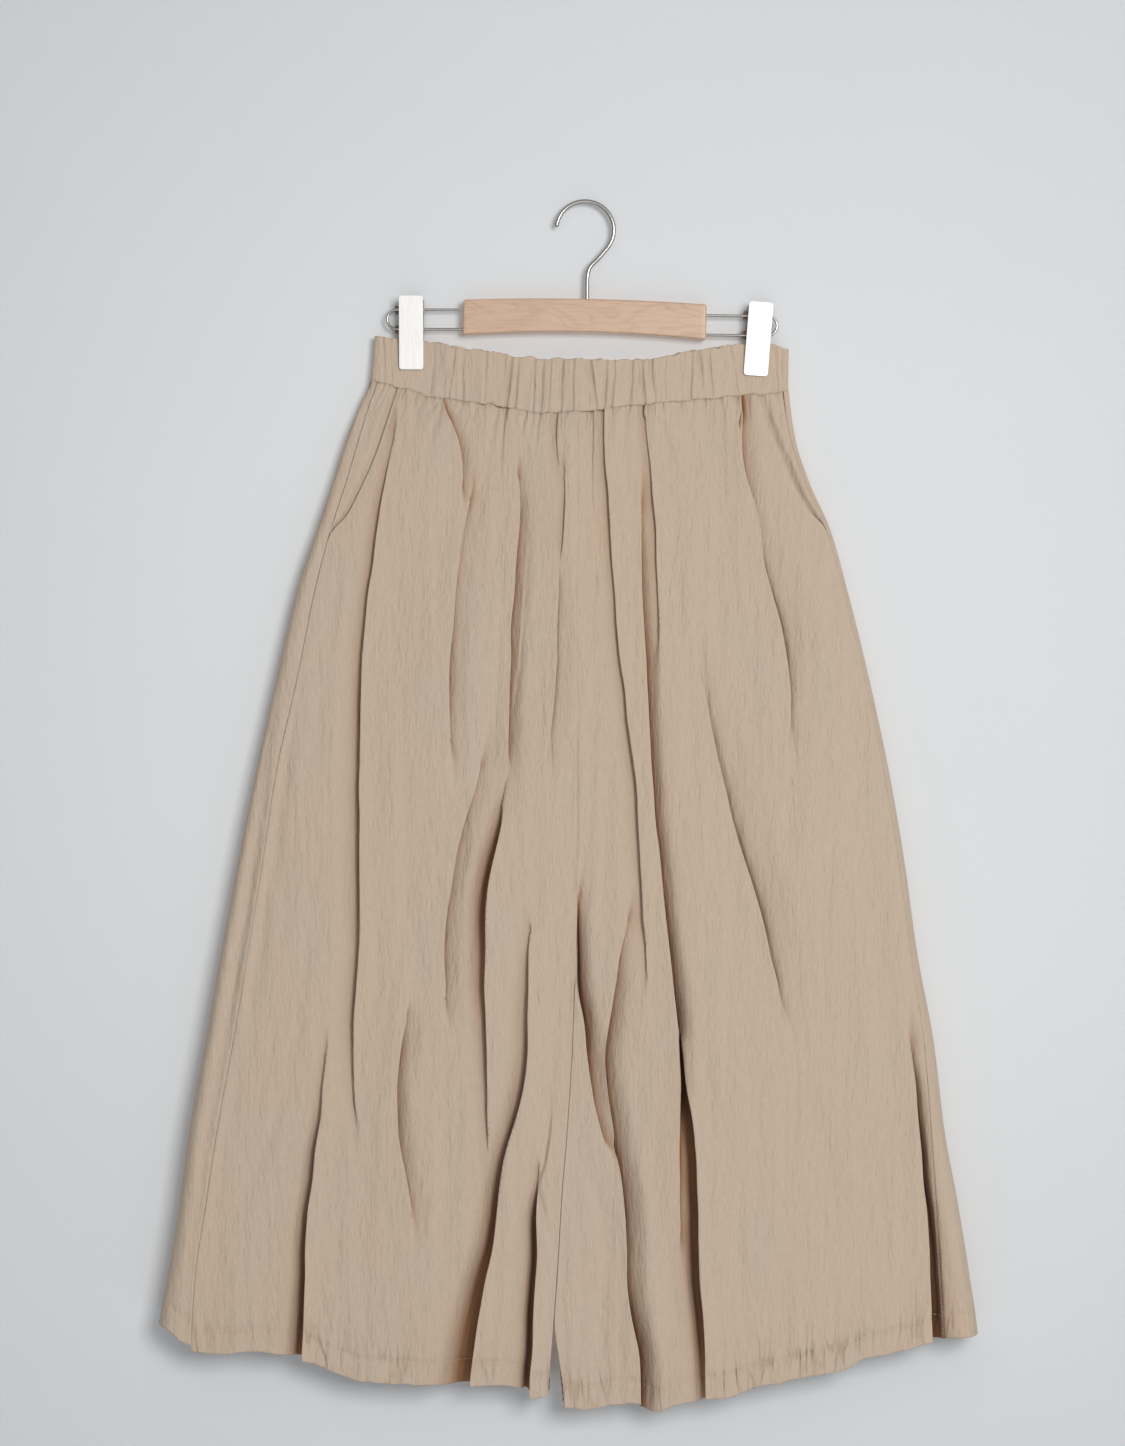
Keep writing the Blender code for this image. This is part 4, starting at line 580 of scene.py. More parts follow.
PIXEL = 0.0008            # the photograph's pixel at the garment, and its size in them
PHOTO = (1125, 1446)
ORIGIN_PIXEL = (585.0, 203.5)
CAMERA_LENS = 85.0
SENSOR = 36.0
WALL_TOP_Y = 0.0105       # the wall leans a little: nearest the garment at its top
WALL_LEAN = 0.0175        # and this much further off for each metre down
STAGE_REACH = 4.0
FLOOR_Z = -1.45
LIGHT_AIM = (-0.02, 0.0, -0.50)
Light = namedtuple("Light", "name place size power colour falls_on")
LIGHTS = (
    Light("key", (1.12, -2.70, 0.10), 0.90, 52.0, (1.0, 0.985, 0.965), "part"),
    Light("wall_key", (0.74, -2.82, 0.04), 0.90, 49.0, (1.0, 0.985, 0.965), "stage"),
    Light("fill", (-0.40, -3.10, 0.60), 2.8, 10.0, (0.97, 0.985, 1.0), None),
    Light("low", (-0.10, -2.80, -1.10), 0.6, 4.0, (0.98, 0.99, 1.0), None),
    Light("rear", (0.5, 2.9, 0.0), 2.2, 66.0, (1.0, 1.0, 1.0), None),
)
SKY = (0.94, 0.97, 1.0, 1.0)
SKY_STRENGTH = 0.30


# ---------------------------------------------------------------- curves

def clamp01(value):
    return np.clip(value, 0.0, 1.0)


def ease(value):
    """Smooth step from 0 to 1."""
    t = clamp01(value)
    return t * t * (3.0 - 2.0 * t)


def bell(distance, width):
    return np.exp(-(distance / width) ** 2)


def fade(distance, run):
    return np.exp(-distance / run)


def quarter(count):
    """Angles from 0 to 90 degrees."""
    return np.radians(np.linspace(0.0, 90.0, count))


def rounding(distance, radius, power=2.0):
    """Height of a quarter round, 0 at its edge and 1 past its radius; fuller over 2."""
    t = 1.0 - clamp01(distance / radius)
    return np.maximum(1.0 - t ** power, 0.0) ** (1.0 / power)


def follow(knots, values, at):
    """Cubic through the rows of a table that never overshoots them."""
    order = np.argsort(knots)
    k = np.asarray(knots, float)[order]
    v = np.asarray(values, float)[order]
    step = np.diff(k)
    slope = np.diff(v) / step
    same = slope[:-1] * slope[1:] > 0.0
    inner = np.zeros(len(slope) - 1)
    inner[same] = 2.0 * slope[:-1][same] * slope[1:][same] / (slope[:-1] + slope[1:])[same]
    tangent = np.concatenate([slope[:1], inner, slope[-1:]])
    x = np.clip(np.asarray(at, float), k[0], k[-1])
    i = np.clip(np.searchsorted(k, x) - 1, 0, len(slope) - 1)
    t = (x - k[i]) / step[i]
    rise = t * t * (3.0 - 2.0 * t)
    lead = t * (1.0 - t) ** 2 * step[i] * tangent[i]
    trail = t * t * (t - 1.0) * step[i] * tangent[i + 1]
    return v[i] * (1.0 - rise) + v[i + 1] * rise + lead + trail


def pairs(table, at, column=1):
    """One column of a table, by its first."""
    return follow([row[0] for row in table], [row[column] for row in table], at)


def section(field, z):
    """One column of SECTIONS at height z."""
    return pairs(SECTIONS, z, Section._fields.index(field))


def band(field, x):
    """One column of BAND at x."""
    return pairs(BAND, x, BandRow._fields.index(field))


def leg_edge(side, z):
    """Inner edge of one leg: the centre seam above, the inseam below."""
    swing = ease((LEG_SPLIT - z) / LEG_DROP) * LEG_SPREAD[side]
    return pairs(LEG_LINE, z) + swing - TOWARD[side] * LEG_TOUCH


def front_edge(side, z):
    """Outer edge of a front panel: pocket line above, side seam below."""
    seam = section(side + "_seam", z)
    line = np.where(z > POCKET_LINE[side][-1][0], pairs(POCKET_LINE[side], z), seam)
    if side == "left":
        return np.maximum(line, seam) + SEAM_GAP / 2.0
    return np.minimum(line, seam) - SEAM_GAP / 2.0


def garment_share(x, z):
    """Where x lies between the garment's two outlines, from 0 to 1."""
    left = section("left", z)
    return (x - left) / (section("right", z) - left)


def run_along(path):
    """Distance along a path to each of its points."""
    steps = np.linalg.norm(np.diff(path, axis=0), axis=1)
    return np.concatenate(([0.0], np.cumsum(steps)))


def place_at(at, run, path):
    """Place on a path, by the run to its points."""
    return np.array([np.interp(at, run, path[:, k]) for k in range(path.shape[1])])


def spaced(x, weight, count):
    """count places along x, closest together where the weight is high."""
    run = np.concatenate(([0.0], np.cumsum(0.5 * (weight[1:] + weight[:-1]))))
    return np.interp(np.linspace(0.0, run[-1], count), run, x)


# ---------------------------------------------------------------- noise and meshes

def wobble(u, v, seed):
    """Smooth noise from -1 to 1, with one random value for each unit of u and v."""
    cells = np.random.default_rng(seed).uniform(-1.0, 1.0, (97, 89))
    i = np.floor(u).astype(int)
    j = np.floor(v).astype(int)
    a = ease(u - i)
    b = ease(v - j)

    def pick(di, dj):
        return cells[(i + di) % 97, (j + dj) % 89]

    low = pick(0, 0) * (1.0 - a) + pick(1, 0) * a
    high = pick(0, 1) * (1.0 - a) + pick(1, 1) * a
    return low * (1.0 - b) + high * b


def waver(x, run, seed):
    """Smooth noise along one direction."""
    return wobble(x / run, x * 0.0, seed)


def grid_faces(count, columns):
    """Quads of a grid whose rows run down and whose columns run to the right."""
    first = (np.arange(count - 1)[:, None] * columns + np.arange(columns - 1)[None, :]).ravel()
    return np.stack([first, first + columns, first + columns + 1, first + 1], axis=1)


def mesh_object(name, points, faces, material, marks=None):
    """A smooth-shaded mesh object; marks are values for its points that the cloth reads."""
    mesh = bpy.data.meshes.new(name)
    mesh.from_pydata(np.asarray(points, float).reshape(-1, 3).tolist(), [],
                     faces.tolist() if hasattr(faces, "tolist") else faces)
    mesh.shade_smooth()
    mesh.materials.append(material)
    for label, values in (marks or {}).items():
        mark = mesh.attributes.new(label, "FLOAT", "POINT")
        mark.data.foreach_set("value", np.asarray(values, np.float32).ravel())
    thing = bpy.data.objects.new(name, mesh)
    bpy.context.scene.collection.objects.link(thing)
    return thing


def shell_object(name, points, material, marks=None):
    """A thin shell behind a grid of points."""
    thing = mesh_object(name, points, grid_faces(*points.shape[:2]), material, marks)
    solid = thing.modifiers.new("wall", "SOLIDIFY")
    solid.thickness = SHELL
    solid.offset = -1.0
    solid.use_even_offset = False
    return thing


# ---------------------------------------------------------------- body surface

LINES = {}


def line_table(path):
    """A fold's centre, lap and crowding at each of FINE_LEVELS, with kinks smoothed."""
    x, heights, laps = zip(*path)
    centre = np.zeros_like(FINE_LEVELS)
    lap = np.zeros_like(FINE_LEVELS)
    for shift in PATH_SMOOTH:
        centre += follow(heights, x, FINE_LEVELS + shift)
        lap += follow(heights, laps, FINE_LEVELS + shift)
    lap /= len(PATH_SMOOTH)
    seed = int(abs(x[0]) * 1e5) % 9973
    calm = FINE_LEVELS * 0.0
    stray = wobble(FINE_LEVELS / WANDER_RUN + NOISE_START, calm, seed)
    centre += len(PATH_SMOOTH) * WANDER * stray
    lap *= 1.0 + LAP_UNEVEN * wobble(FINE_LEVELS / LAP_RUN + NOISE_START, calm, seed + 1)
    crowd = ease(np.abs(lap) / FULL_LAP)
    reach = np.arange(-3 * CROWD_SPREAD, 3 * CROWD_SPREAD + 1)
    weight = np.exp(-0.5 * (reach / CROWD_SPREAD) ** 2)
    padded = np.pad(crowd, 3 * CROWD_SPREAD, mode="edge")
    return centre / len(PATH_SMOOTH), lap, np.convolve(padded, weight / weight.sum(), "valid")


def fold_line(path, z):
    """Centre, lap and crowding of a fold at height z."""
    if path not in LINES:
        LINES[path] = line_table(path)
    return [np.interp(-z, -FINE_LEVELS, column) for column in LINES[path]]


def swell_field(x, z, swells):
    """Height of the broad soft hollows and ridges."""
    height = np.zeros_like(x)
    for swell in swells:
        centre, share, _ = fold_line(swell.path, z)
        height = height + swell.height * share * bell(x - centre, swell.width)
    return height


def crease_field(x, z, creases):
    """Height of the small creases, each a step that comes straight back up."""
    height = np.zeros_like(x)
    for crease in creases:
        centre, lap, _ = fold_line(crease.path, z)
        away = np.where(lap >= 0.0, 1.0, -1.0) * (x - centre)
        step = ease((away + CREASE_SIGMA) / (2.0 * CREASE_SIGMA))
        back = fade(np.maximum(away - CREASE_SIGMA, 0.0), CREASE_RUN)
        lip = bell(away, CREASE_RIDGE[1]) * (1.0 - step)
        height = height - crease.drop * np.abs(lap) * (step * back - CREASE_RIDGE[0] * lip)
    return height


def fold_field(side, x, z, depth, folds):
    """What the folds leave of the half depth, the slide under their lips, and the painted shade of
    their recesses.
    """
    left = np.ones_like(x)
    slide = np.zeros_like(x)
    fold_shade = np.zeros_like(x)
    for fold in folds:
        centre, lap, _ = fold_line(fold.path, z)
        toward = np.where(lap >= 0.0, 1.0, -1.0)
        size = np.abs(lap)
        sigma = fold.sharp * LIP_SIGMA
        soft = fold.sharp > SOFT_FOLD
        tuck = SOFT_TUCK if soft else LIP_TUCK * ease(size * depth / TUCK_DEPTH)
        tuck = tuck * ease(size / FULL_LAP)
        away = toward * (x - centre) + sigma * np.maximum(tuck - 1.0, 0.0)
        step = ease((away + sigma) / (2.0 * sigma))
        gap = pairs(GAPS.get((side, fold.name), NO_GAP), z)
        past = np.maximum(away - sigma - gap, 0.0)
        fast = fade(past, RECESS_FAST + GAP_EASE * gap)
        stay = RECESS_SHARE * fast + (1.0 - RECESS_SHARE) * (1.0 - ease(past / fold.soft))
        lip = bell(away, RIDGE_WIDTH) * (1.0 - step)
        left = left - size * (step * stay - FOLD_RIDGE * lip)
        # Painted shade for the cloth's colour: a tone in the recess, a darker core close under a
        # lip that turns to the light, and a soft halo beside it.
        tone = CLOSED_TONE + (OPEN_TONE - CLOSED_TONE) * ease(gap / OPEN_GAP)
        core = np.where(lap > 0.0, CORE_TONE, 0.0) * fade(past, CORE_RUN)
        if soft:
            tone, core = SOFT_TONE, 0.0
        inside = ease(away / sigma + np.where(lap < 0.0, *SHADE_LEAD))
        shade = tone * fast + core + HALO_TONE * fade(past, HALO_RUN)
        fold_shade = fold_shade + clamp01(size / FULL_TONE) * inside * shade
        q = away / sigma
        slide = slide - toward * tuck * sigma * q * np.exp(0.5 - 0.5 * q * q)
    return np.clip(left, *RELIEF_LIMITS), slide, clamp01(fold_shade)


def seam_line(x):
    """Height of the waist seam, drawn up unevenly by its gathers."""
    return band("bottom", x) + SEAM_UNEVEN * (waver(x, 0.0075, 61) + 0.5 * waver(x, 0.0031, 62))


def below_band(x, z):
    return np.maximum(band("bottom", x) - z, 0.0)


def gather_ripples(x, z, below, gathers):
    """Small pleats that run down from the waist seam and die out."""
    height = np.zeros_like(x)
    here = garment_share(x, z)
    wide = section("right", z) - section("left", z)
    spread = RIPPLE_WIDTH * (1.0 + below / RIPPLE_OPENS)
    for i, gather in enumerate(gathers):
        away = (here - garment_share(gather.bottom, BAND_LEVEL - BAND_FALL)) * wide
        run = RIPPLE_RUN * (0.7 + 0.6 * abs(math.sin(1.9 * i + 0.4)))
        run = run * (0.6 + gather.depth / 0.0010)
        pleat = np.exp(-(away / spread) ** 2 - below / run)
        height = height - gather.depth * RIPPLE_DEPTH * pleat
    return height


def hem_scallop(x):
    """Small unevenness of a hem's edge."""
    return HEM_SCALLOP * (waver(x, 0.0095, 71) + 0.8 * waver(x, 0.0220, 73))


def hem_patches(x, seed):
    """Where along a hem its puckers are strong."""
    return clamp01(0.75 + 0.85 * waver(x, 0.026, 29 + seed))


def hem_reach(above_hem):
    """How strong a hem's puckers are at a height above its edge."""
    return np.where(above_hem < HEM_DEPTH, 0.45 + 0.55 * clamp01(above_hem / HEM_DEPTH),
                    fade(np.maximum(above_hem - HEM_DEPTH, 0.0), HEM_FADE))


def cloth_height(face, x, z, above_hem, seed):
    """Small relief of the cloth: broad waves, fine wrinkles, gathers and hem puckers."""
    share = garment_share(x, z) * USUAL_SPAN
    spread = section("right", z) - section("left", z)
    height = np.zeros_like(x)
    for waves in PANEL_WAVES:
        across = share / waves.across * (1.0 + 0.35 * (spread / USUAL_SPAN - 1.0))
        height = height + waves.height * wobble(across, -z / waves.along, waves.seed + seed)
    below = below_band(x, z)
    height = height + gather_ripples(x, z, below, GATHERS[face])
    fine = wobble(share / 0.0062, -z / 0.030, 11 + seed)
    height = height - WAIST_PUCKER * bell(fine, 0.30) * fade(below, WAIST_PUCKER_RUN)
    slant = x + 0.0030 * wobble(x / 0.02, above_hem / 0.012, 23 + seed)
    pucker = 0.6 * wobble(slant / 0.0125, above_hem / 0.08, 19 + seed)
    pucker = pucker - bell(wobble(slant / 0.0080, above_hem / 0.060, 17 + seed), 0.32)
    pucker = pucker * hem_patches(x, seed)
    groove = HEM_GROOVE * bell(above_hem - HEM_DEPTH, 0.0016)
    height = height + HEM_PUCKER * pucker * hem_reach(above_hem) - groove
    return height + HEM_TURN * (1.0 - ease((above_hem - HEM_DEPTH) / 0.0012))


def surface(face, side, x, z, above_hem, folds, edge, seed):
    """Half depth, sideways slide and painted fold shade of the cloth's outer face."""
    outer = np.abs(section(side, z) - x)
    inner = np.abs(x - leg_edge(side, z))
    parting = ease((CROTCH_TOP - z) / (CROTCH_TOP - CROTCH_POINT))
    inner_round = 1.0 - parting * (1.0 - rounding(inner, INNER_SHARE * pairs(INNER_CORNER, z)))
    blend = ease((band("bottom", x) - z) / BLEND_BELOW_BAND)
    flat = (band("depth", x) + PUFF_BELOW_BAND) * (1.0 - blend) + section(face, z) * blend
    left, slide, fold_shade = fold_field(side, x, z, flat, folds)
    small = cloth_height(face, x, z, above_hem, seed)
    if face == "front":
        small = small + crease_field(x, z, CREASES[side])
        small = small + SWELL_GAIN * swell_field(x, z, SWELLS[side])
    else:
        other = "right" if side == "left" else "left"
        small = small + BACK_SWELL_GAIN * swell_field(-x, z, SWELLS[other])
    roll = SEAM_ROLL * (1.3 - 0.9 * garment_share(x, z) + 0.6 * waver(x, 0.009, 63))
    seam = np.maximum(roll, 0.0) * fade(np.maximum(seam_line(x) - z, 0.0), SEAM_ROLL_RUN)
    calm = ease(np.minimum(outer, edge) / CALM_EDGE) * (0.35 + 0.65 * ease(inner / CALM_EDGE))
    dip = SEAM_DIP * bell(inner, SEAM_DIP_WIDTH) * (1.0 - parting)
    edge_round = rounding(outer, section("corner", z), EDGE_POWER)
    depth = (flat * left + small * calm - dip - seam) * edge_round * inner_round
    slide = slide * ease(np.minimum(np.minimum(outer, inner), edge) / SLIDE_EDGE)
    return depth, slide, fold_shade


# ---------------------------------------------------------------- panels

def crowded(low, high, count, peaks):
    """count places from low to high, close together near each (place, weight, width)."""
    x = np.linspace(low, high, 500)
    weight = np.ones_like(x)
    for place, strength, width in peaks:
        weight = weight + strength * bell(x - place, width)
    return spaced(x, weight, count)


def fold_peaks(folds, creases, z):
    """Places where a row needs its points close together."""
    peaks = []
    for fold in folds:
        centre, _, crowd = fold_line(fold.path, z)
        peaks.append((float(centre), FOLD_CROWD[0] * float(crowd), FOLD_CROWD[1] * fold.sharp))
    for crease in creases:
        centre, _, crowd = fold_line(crease.path, z)
        peaks.append((float(centre), CREASE_CROWD[0] * float(crowd), CREASE_CROWD[1]))
    return peaks


def row_shares(count):
    """Rows from the band (0) to the hem (1), closer together at both ends."""
    u = np.linspace(0.0, 1.0, 1200)
    (top, top_run), (hem, hem_run) = ROW_CROWD
    weight = 1.0 + top * fade(u, top_run) + hem * fade(1.0 - u, hem_run)
    return spaced(u, weight, count)


def panel_grid(tracks, shares, foot_at):
    """x and z of a panel's points: each column follows its track from the band to its foot."""
    x, z = np.zeros((2, len(shares), len(tracks[0])))
    feet = []
    for c, track in enumerate(np.array(tracks).T):
        top, foot = BAND[0].bottom, FRONT_HEM[0][1]
        for _ in range(4):
            top_x, foot_x = np.interp((-top, -foot), -LEVELS, track)
            top = float(seam_line(top_x)) - BAND_SEAM_GAP
            foot = float(foot_at(foot_x))
        z[:, c] = top + (foot - top) * shares
        x[:, c] = np.interp(-z[:, c], -LEVELS, track)
        feet.append(foot)
    return x, z, np.array(feet)


def panel_points(tracks, faces, side, folds, hem_table, count, seam_at):
    """Points of a leg panel and their marks, in count rows; faces says where each column is."""
    seed = PANEL_SEEDS["%s_%s" % (faces[0], side)]
    x, z, feet = panel_grid(tracks, row_shares(count),
                            lambda foot_x: pairs(hem_table, foot_x) + hem_scallop(foot_x))
    above_hem = z - feet
    pucker = np.maximum(hem_reach(above_hem) * hem_patches(x, seed),
                        WAIST_REACH * fade(below_band(x, z), WAIST_REACH_RUN))
    points, fold_shade = np.zeros((*x.shape, 3)), np.zeros(x.shape)
    for face in set(faces):
        pick = np.array([one == face for one in faces])
        edge = np.abs(x[:, pick] - seam_at(z[:, pick]))
        depth, slide, fold_shade[:, pick] = surface(face, side, x[:, pick], z[:, pick],
                                                above_hem[:, pick], folds[face], edge, seed)
        depth = np.maximum(depth, SEAM_GAP / 2.0)
        points[:, pick, 0] = x[:, pick] + slide
        points[:, pick, 1] = -depth if face == "front" else depth
        points[:, pick, 2] = z[:, pick]
    # The marks: painted shade of the folds for the cloth's colour, and the puckers' strength, which
    # drives their bump and their painted shade.
    return points, {"fold_shade": fold_shade, "pucker": pucker}


def inner_corner(z):
    """Distances from a leg's inner edge at equal angles round its corner."""
    return INNER_SHARE * float(pairs(INNER_CORNER, z)) * (1.0 - np.cos(quarter(INNER_STEPS + 1)))


def front_panel(side, folds, material):
    """Front leg panel with its folds, pocket edge and hem."""
    count, columns = FRONT_GRID
    toward = TOWARD[side]
    tracks = []
    for z in LEVELS:
        outer = float(front_edge(side, z))
        inner = float(leg_edge(side, z))
        corner = inner_corner(z)
        stop = inner - toward * corner[-1]
        peaks = fold_peaks(folds["front"], CREASES[side], z)
        peaks += [(outer, *OUTER_CROWD), (stop, *CORNER_CROWD)]
        body = crowded(min(outer, stop), max(outer, stop), columns - INNER_STEPS, peaks)
        rest = inner - toward * corner[:-1]
        tracks.append(np.concatenate([body, rest[::-1]] if side == "left" else [rest, body]))
    points, marks = panel_points(tracks, ["front"] * columns, side, folds, FRONT_HEM, count,
                                 lambda z: front_edge(side, z))
    return points, shell_object("cloth_front_" + side, points, material, marks)


def back_panel(side, folds, material):
    """Back leg panel, which wraps round the side to the seam in front."""
    count, columns = BACK_GRID
    corner_steps, strip_steps = BACK_STEPS
    toward = TOWARD[side]
    turn = np.radians(np.linspace(90.0, 0.0, corner_steps + 1)[1:])
    across = (np.arange(1, strip_steps + 1) / strip_steps) ** 1.7
    tracks = []
    for z in LEVELS:
        inner = float(leg_edge(side, z))
        outline = float(section(side, z))
        radius = float(section("corner", z))
        stop = outline + toward * radius
        edge = inner_corner(z)
        start = inner - toward * edge[-1]
        peaks = fold_peaks(folds["back"], (), z) + [(start, *CORNER_CROWD)]
        body = crowded(min(start, stop), max(start, stop), columns, peaks)
        strip = abs(outline - float(section(side + "_seam", z))) - SEAM_GAP / 2.0
        tracks.append(np.concatenate([
            inner - toward * edge[:-1],
            body[::-1] if side == "left" else body,
            outline + toward * radius * (1.0 - np.cos(turn)),
            outline + toward * strip * across]))
    faces = ["back"] * (columns + INNER_STEPS + corner_steps) + ["front"] * strip_steps
    points, marks = panel_points(tracks, faces, side, folds, BACK_HEM, count,
                                 lambda z: section(side + "_seam", z))
    if side == "right":
        points = points[:, ::-1]
        marks = {label: values[:, ::-1] for label, values in marks.items()}
    return points, shell_object("cloth_back_" + side, points, material, marks)


def pocket_piece(side, folds, material):
    """Hip piece between the side seam and the slanted pocket edge."""
    count, columns = POCKET_GRID
    toward = TOWARD[side]
    tracks = []
    for z in LEVELS:
        seam = float(section(side + "_seam", z))
        line = max(toward * float(pairs(POCKET_LINE[side], z)), toward * seam) * toward
        edge = seam + toward * SEAM_GAP / 2.0
        tracks.append(np.linspace(edge, line + toward * POCKET_UNDERLAP, columns))
    end = POCKET_LINE[side][-1][0] - POCKET_TAIL
    x, z, _ = panel_grid(tracks, np.linspace(0.0, 1.0, count), lambda _: end)
    far = np.ones_like(x)
    depth, _, _ = surface("front", side, x, z, far, folds["front"], far, POCKET_SEED)
    depth = np.maximum(depth, SEAM_GAP / 2.0)
    outside = toward * (pairs(POCKET_LINE[side], z) - x) - POCKET_TUCK_LEAD
    tuck = np.minimum(POCKET_TUCK, POCKET_TUCK_SHARE * depth)
    tuck = tuck * ease(1.0 - outside / POCKET_TUCK_RUN)
    seam = section(side + "_seam", z)
    open_for = toward * (front_edge(side, z) - seam)
    tuck = tuck * ease(toward * (x - seam) / np.maximum(POCKET_LEVEL_SHARE * open_for, 0.0001))
    points = np.stack([x + toward * POCKET_TUCK_LEAN * tuck, -depth + tuck, z], axis=2)
    if side == "right":
        points = points[:, ::-1]
    return points, shell_object("cloth_pocket_" + side, points, material)


# ---------------------------------------------------------------- waistband

def back_gathers():
    """Evenly spread creases with a steady unevenness."""
    low = BAND[0].x + BACK_GATHER_MARGIN
    high = BAND[-1].x - BACK_GATHER_MARGIN
    gathers = []
    for i in range(BACK_GATHER_COUNT):
        x = low + (high - low) * (i + 0.5) / BACK_GATHER_COUNT
        x += BACK_GATHER_SHIFT * math.sin(2.4 * i)
        lean = BACK_GATHER_LEAN * math.cos(1.7 * i)
        depth = BACK_GATHER_DEPTH + BACK_GATHER_UNEVEN * math.sin(3.1 * i)
        gathers.append(Gather(x - lean, x + lean, depth))
    return tuple(gathers)


GATHERS = {"front": FRONT_GATHERS, "back": back_gathers()}


def clamp_share(x):
    """0 under a clip's jaws and 1 away from them."""
    share = np.ones_like(x)
    for clip in CLIPS.values():
        distance = np.abs(x - clip.x) - CLIP_WIDTH / 2.0 - CLAMP_MARGIN
        share = np.minimum(share, ease(distance / CLAMP_EASE))
    return share


def band_relief(x, share, gathers, seed):
    """Height of the gathered band's face at x and a share of its height."""
    height = np.zeros_like(x)
    bend = BAND_BEND * wobble(share * 2.5 + 3.0, x / 0.009, seed + 1)
    for i, gather in enumerate(gathers):
        centre = gather.top + (gather.bottom - gather.top) * share + bend
        reach = 1.0 - 0.75 * ease(np.abs(share - (0.15 + 0.7 * ((i * 0.37) % 1.0))) / 0.9)
        away = (x - centre) / (CREASE_WIDTH * (1.0 + 0.3 * math.sin(2.7 * i)))
        height = height - gather.depth * BAND_CREASE * reach * np.exp(-away * away)
        height = height + gather.depth * 0.30 * bell(np.abs(away) - 2.2, 1.1)
    fine = wobble(x / 0.0034, share * 1.6 + 5.0, seed)
    broad = wobble(x / 0.0100, share * 0.8 + 9.0, seed + 5)
    return height + BAND_FINE * fine + BAND_BROAD * broad


def waistband(face, material):
    """Half of the gathered elastic casing, a closed flat tube with a rolled top."""
    count, columns = BAND_GRID
    seed = BAND_SEEDS[face]
    shares = np.linspace(1.0, 0.0, count)
    left, right = (section(side, BAND_LEVEL - BAND_FALL * shares)[:, None] for side in TOWARD)
    middle = np.linspace(0.0, 1.0, columns)
    if face == "front":
        round_in = BAND_CORNER * (1.0 - np.cos(quarter(9)[1:]))
        back_in = np.linspace(BAND_WRAP, BAND_CORNER, 4)
        near = np.concatenate([back_in, round_in[:-1][::-1], [0.0], round_in])
        ends = np.where(np.arange(len(near)) < len(near) - len(round_in) - 1, 1.0, -1.0)
        inside = left + BAND_CORNER + (right - left - 2.0 * BAND_CORNER) * middle[1:-1]
        x = np.concatenate([left + near, inside, (right - near)[:, ::-1]], axis=1)
        x_sign = np.concatenate([ends, -np.ones(columns - 2), ends[::-1]])
    else:
        edge = BAND_WRAP + BAND_SEAM_GAP
        x = left + edge + (right - left - 2.0 * edge) * middle
        x_sign = np.ones(columns)
    share = np.broadcast_to(shares[:, None], x.shape)
    near = np.minimum(x - left, right - x)
    wave = band_relief(x, share, GATHERS[face], seed) * clamp_share(x)
    wave = wave * ease((near - BAND_CORNER) / BAND_CORNER_EASE)
    depth = np.maximum(band("depth", x) + wave, BAND_WALL + SEAM_GAP / 2.0)
    ruffle = waver(x, 0.0062, seed + 2) + 0.6 * waver(x, 0.0026, seed + 3)
    ruffle = BAND_RUFFLE * ruffle * clamp_share(x) * (1.0 - share) ** 2
    lift = BACK_BAND_LIFT if face == "back" else 0.0
    z_top = band("top", x) + lift * ease((near - BAND_WRAP) / BACK_BAND_RISE)
    z = z_top + (seam_line(x) - z_top) * share + ruffle
    corner = rounding(near, BAND_CORNER)
    wall = BAND_WALL - BAND_PLAY
    loops = []

    def loop(r, depth_at, rise=0.0):
        loops.append(np.stack([x[r], x_sign * depth_at * corner[r], z[r] + rise], axis=1))

    for r in range(count):
        loop(r, depth[r])
    for turn in np.radians(BAND_TURN):
        loop(-1, depth[-1] - wall / 2.0 * (1.0 - np.cos(turn)), wall / 2.0 * np.sin(turn))
    for r in range(count - 1, -1, -3):
        loop(r, np.maximum(depth[r] - wall, SEAM_GAP / 2.0))
    points = np.array(loops)[::-1] if face == "front" else np.array(loops)[::-1, ::-1]
    high, wide = points.shape[:2]
    last = (high - 1) * wide
    faces = grid_faces(high, wide).tolist()
    faces += [[last + c, c, c + 1, last + c + 1] for c in range(wide - 1)]
    faces.append([r * wide for r in range(high)][::-1])
    faces.append([r * wide + wide - 1 for r in range(high)])
    return points, mesh_object("cloth_waistband_" + face, points, faces, material)


# ---------------------------------------------------------------- stitches

def stitch_row(path, lift, points, faces):
    """Add short dashes along a path to lists of points and faces: thin bars of three sides."""
    run = run_along(path)
    for start in np.arange(0.5 * STITCH_PITCH, run[-1] - STITCH_LENGTH, STITCH_PITCH):
        a, b = (place_at(at, run, path) for at in (start, start + STITCH_LENGTH))
        along = (b - a) / np.linalg.norm(b - a)
        across = np.cross(along, lift)
        across = across / np.linalg.norm(across)
        base = len(points)
        near, far = a * 0.8 + b * 0.2, a * 0.2 + b * 0.8
        for centre, size in ((a, 0.3), (near, 1.0), (far, 1.0), (b, 0.3)):
            for side, up in ((-1.0, 0.0), (-0.5, 0.8), (0.5, 0.8), (1.0, 0.0)):
                points.append(centre + STITCH_RADIUS * size * (side * across + up * lift))
        for n in (base + 4 * k + j for k in range(3) for j in range(3)):
            faces.append((n, n + 4, n + 5, n + 1))


def level_path(points, above):
    """Path on a panel's grid at a height above its hem."""
    return [place_at(-(column[-1, 2] + above), -column[:, 2], column)
            for column in points.transpose(1, 0, 2)]


def edge_path(points, inset, low, high):
    """Path down a panel at a distance in from its first column, between two heights."""
    return [place_at(inset, run_along(line), line) for line in points if low < line[0, 2] < high]


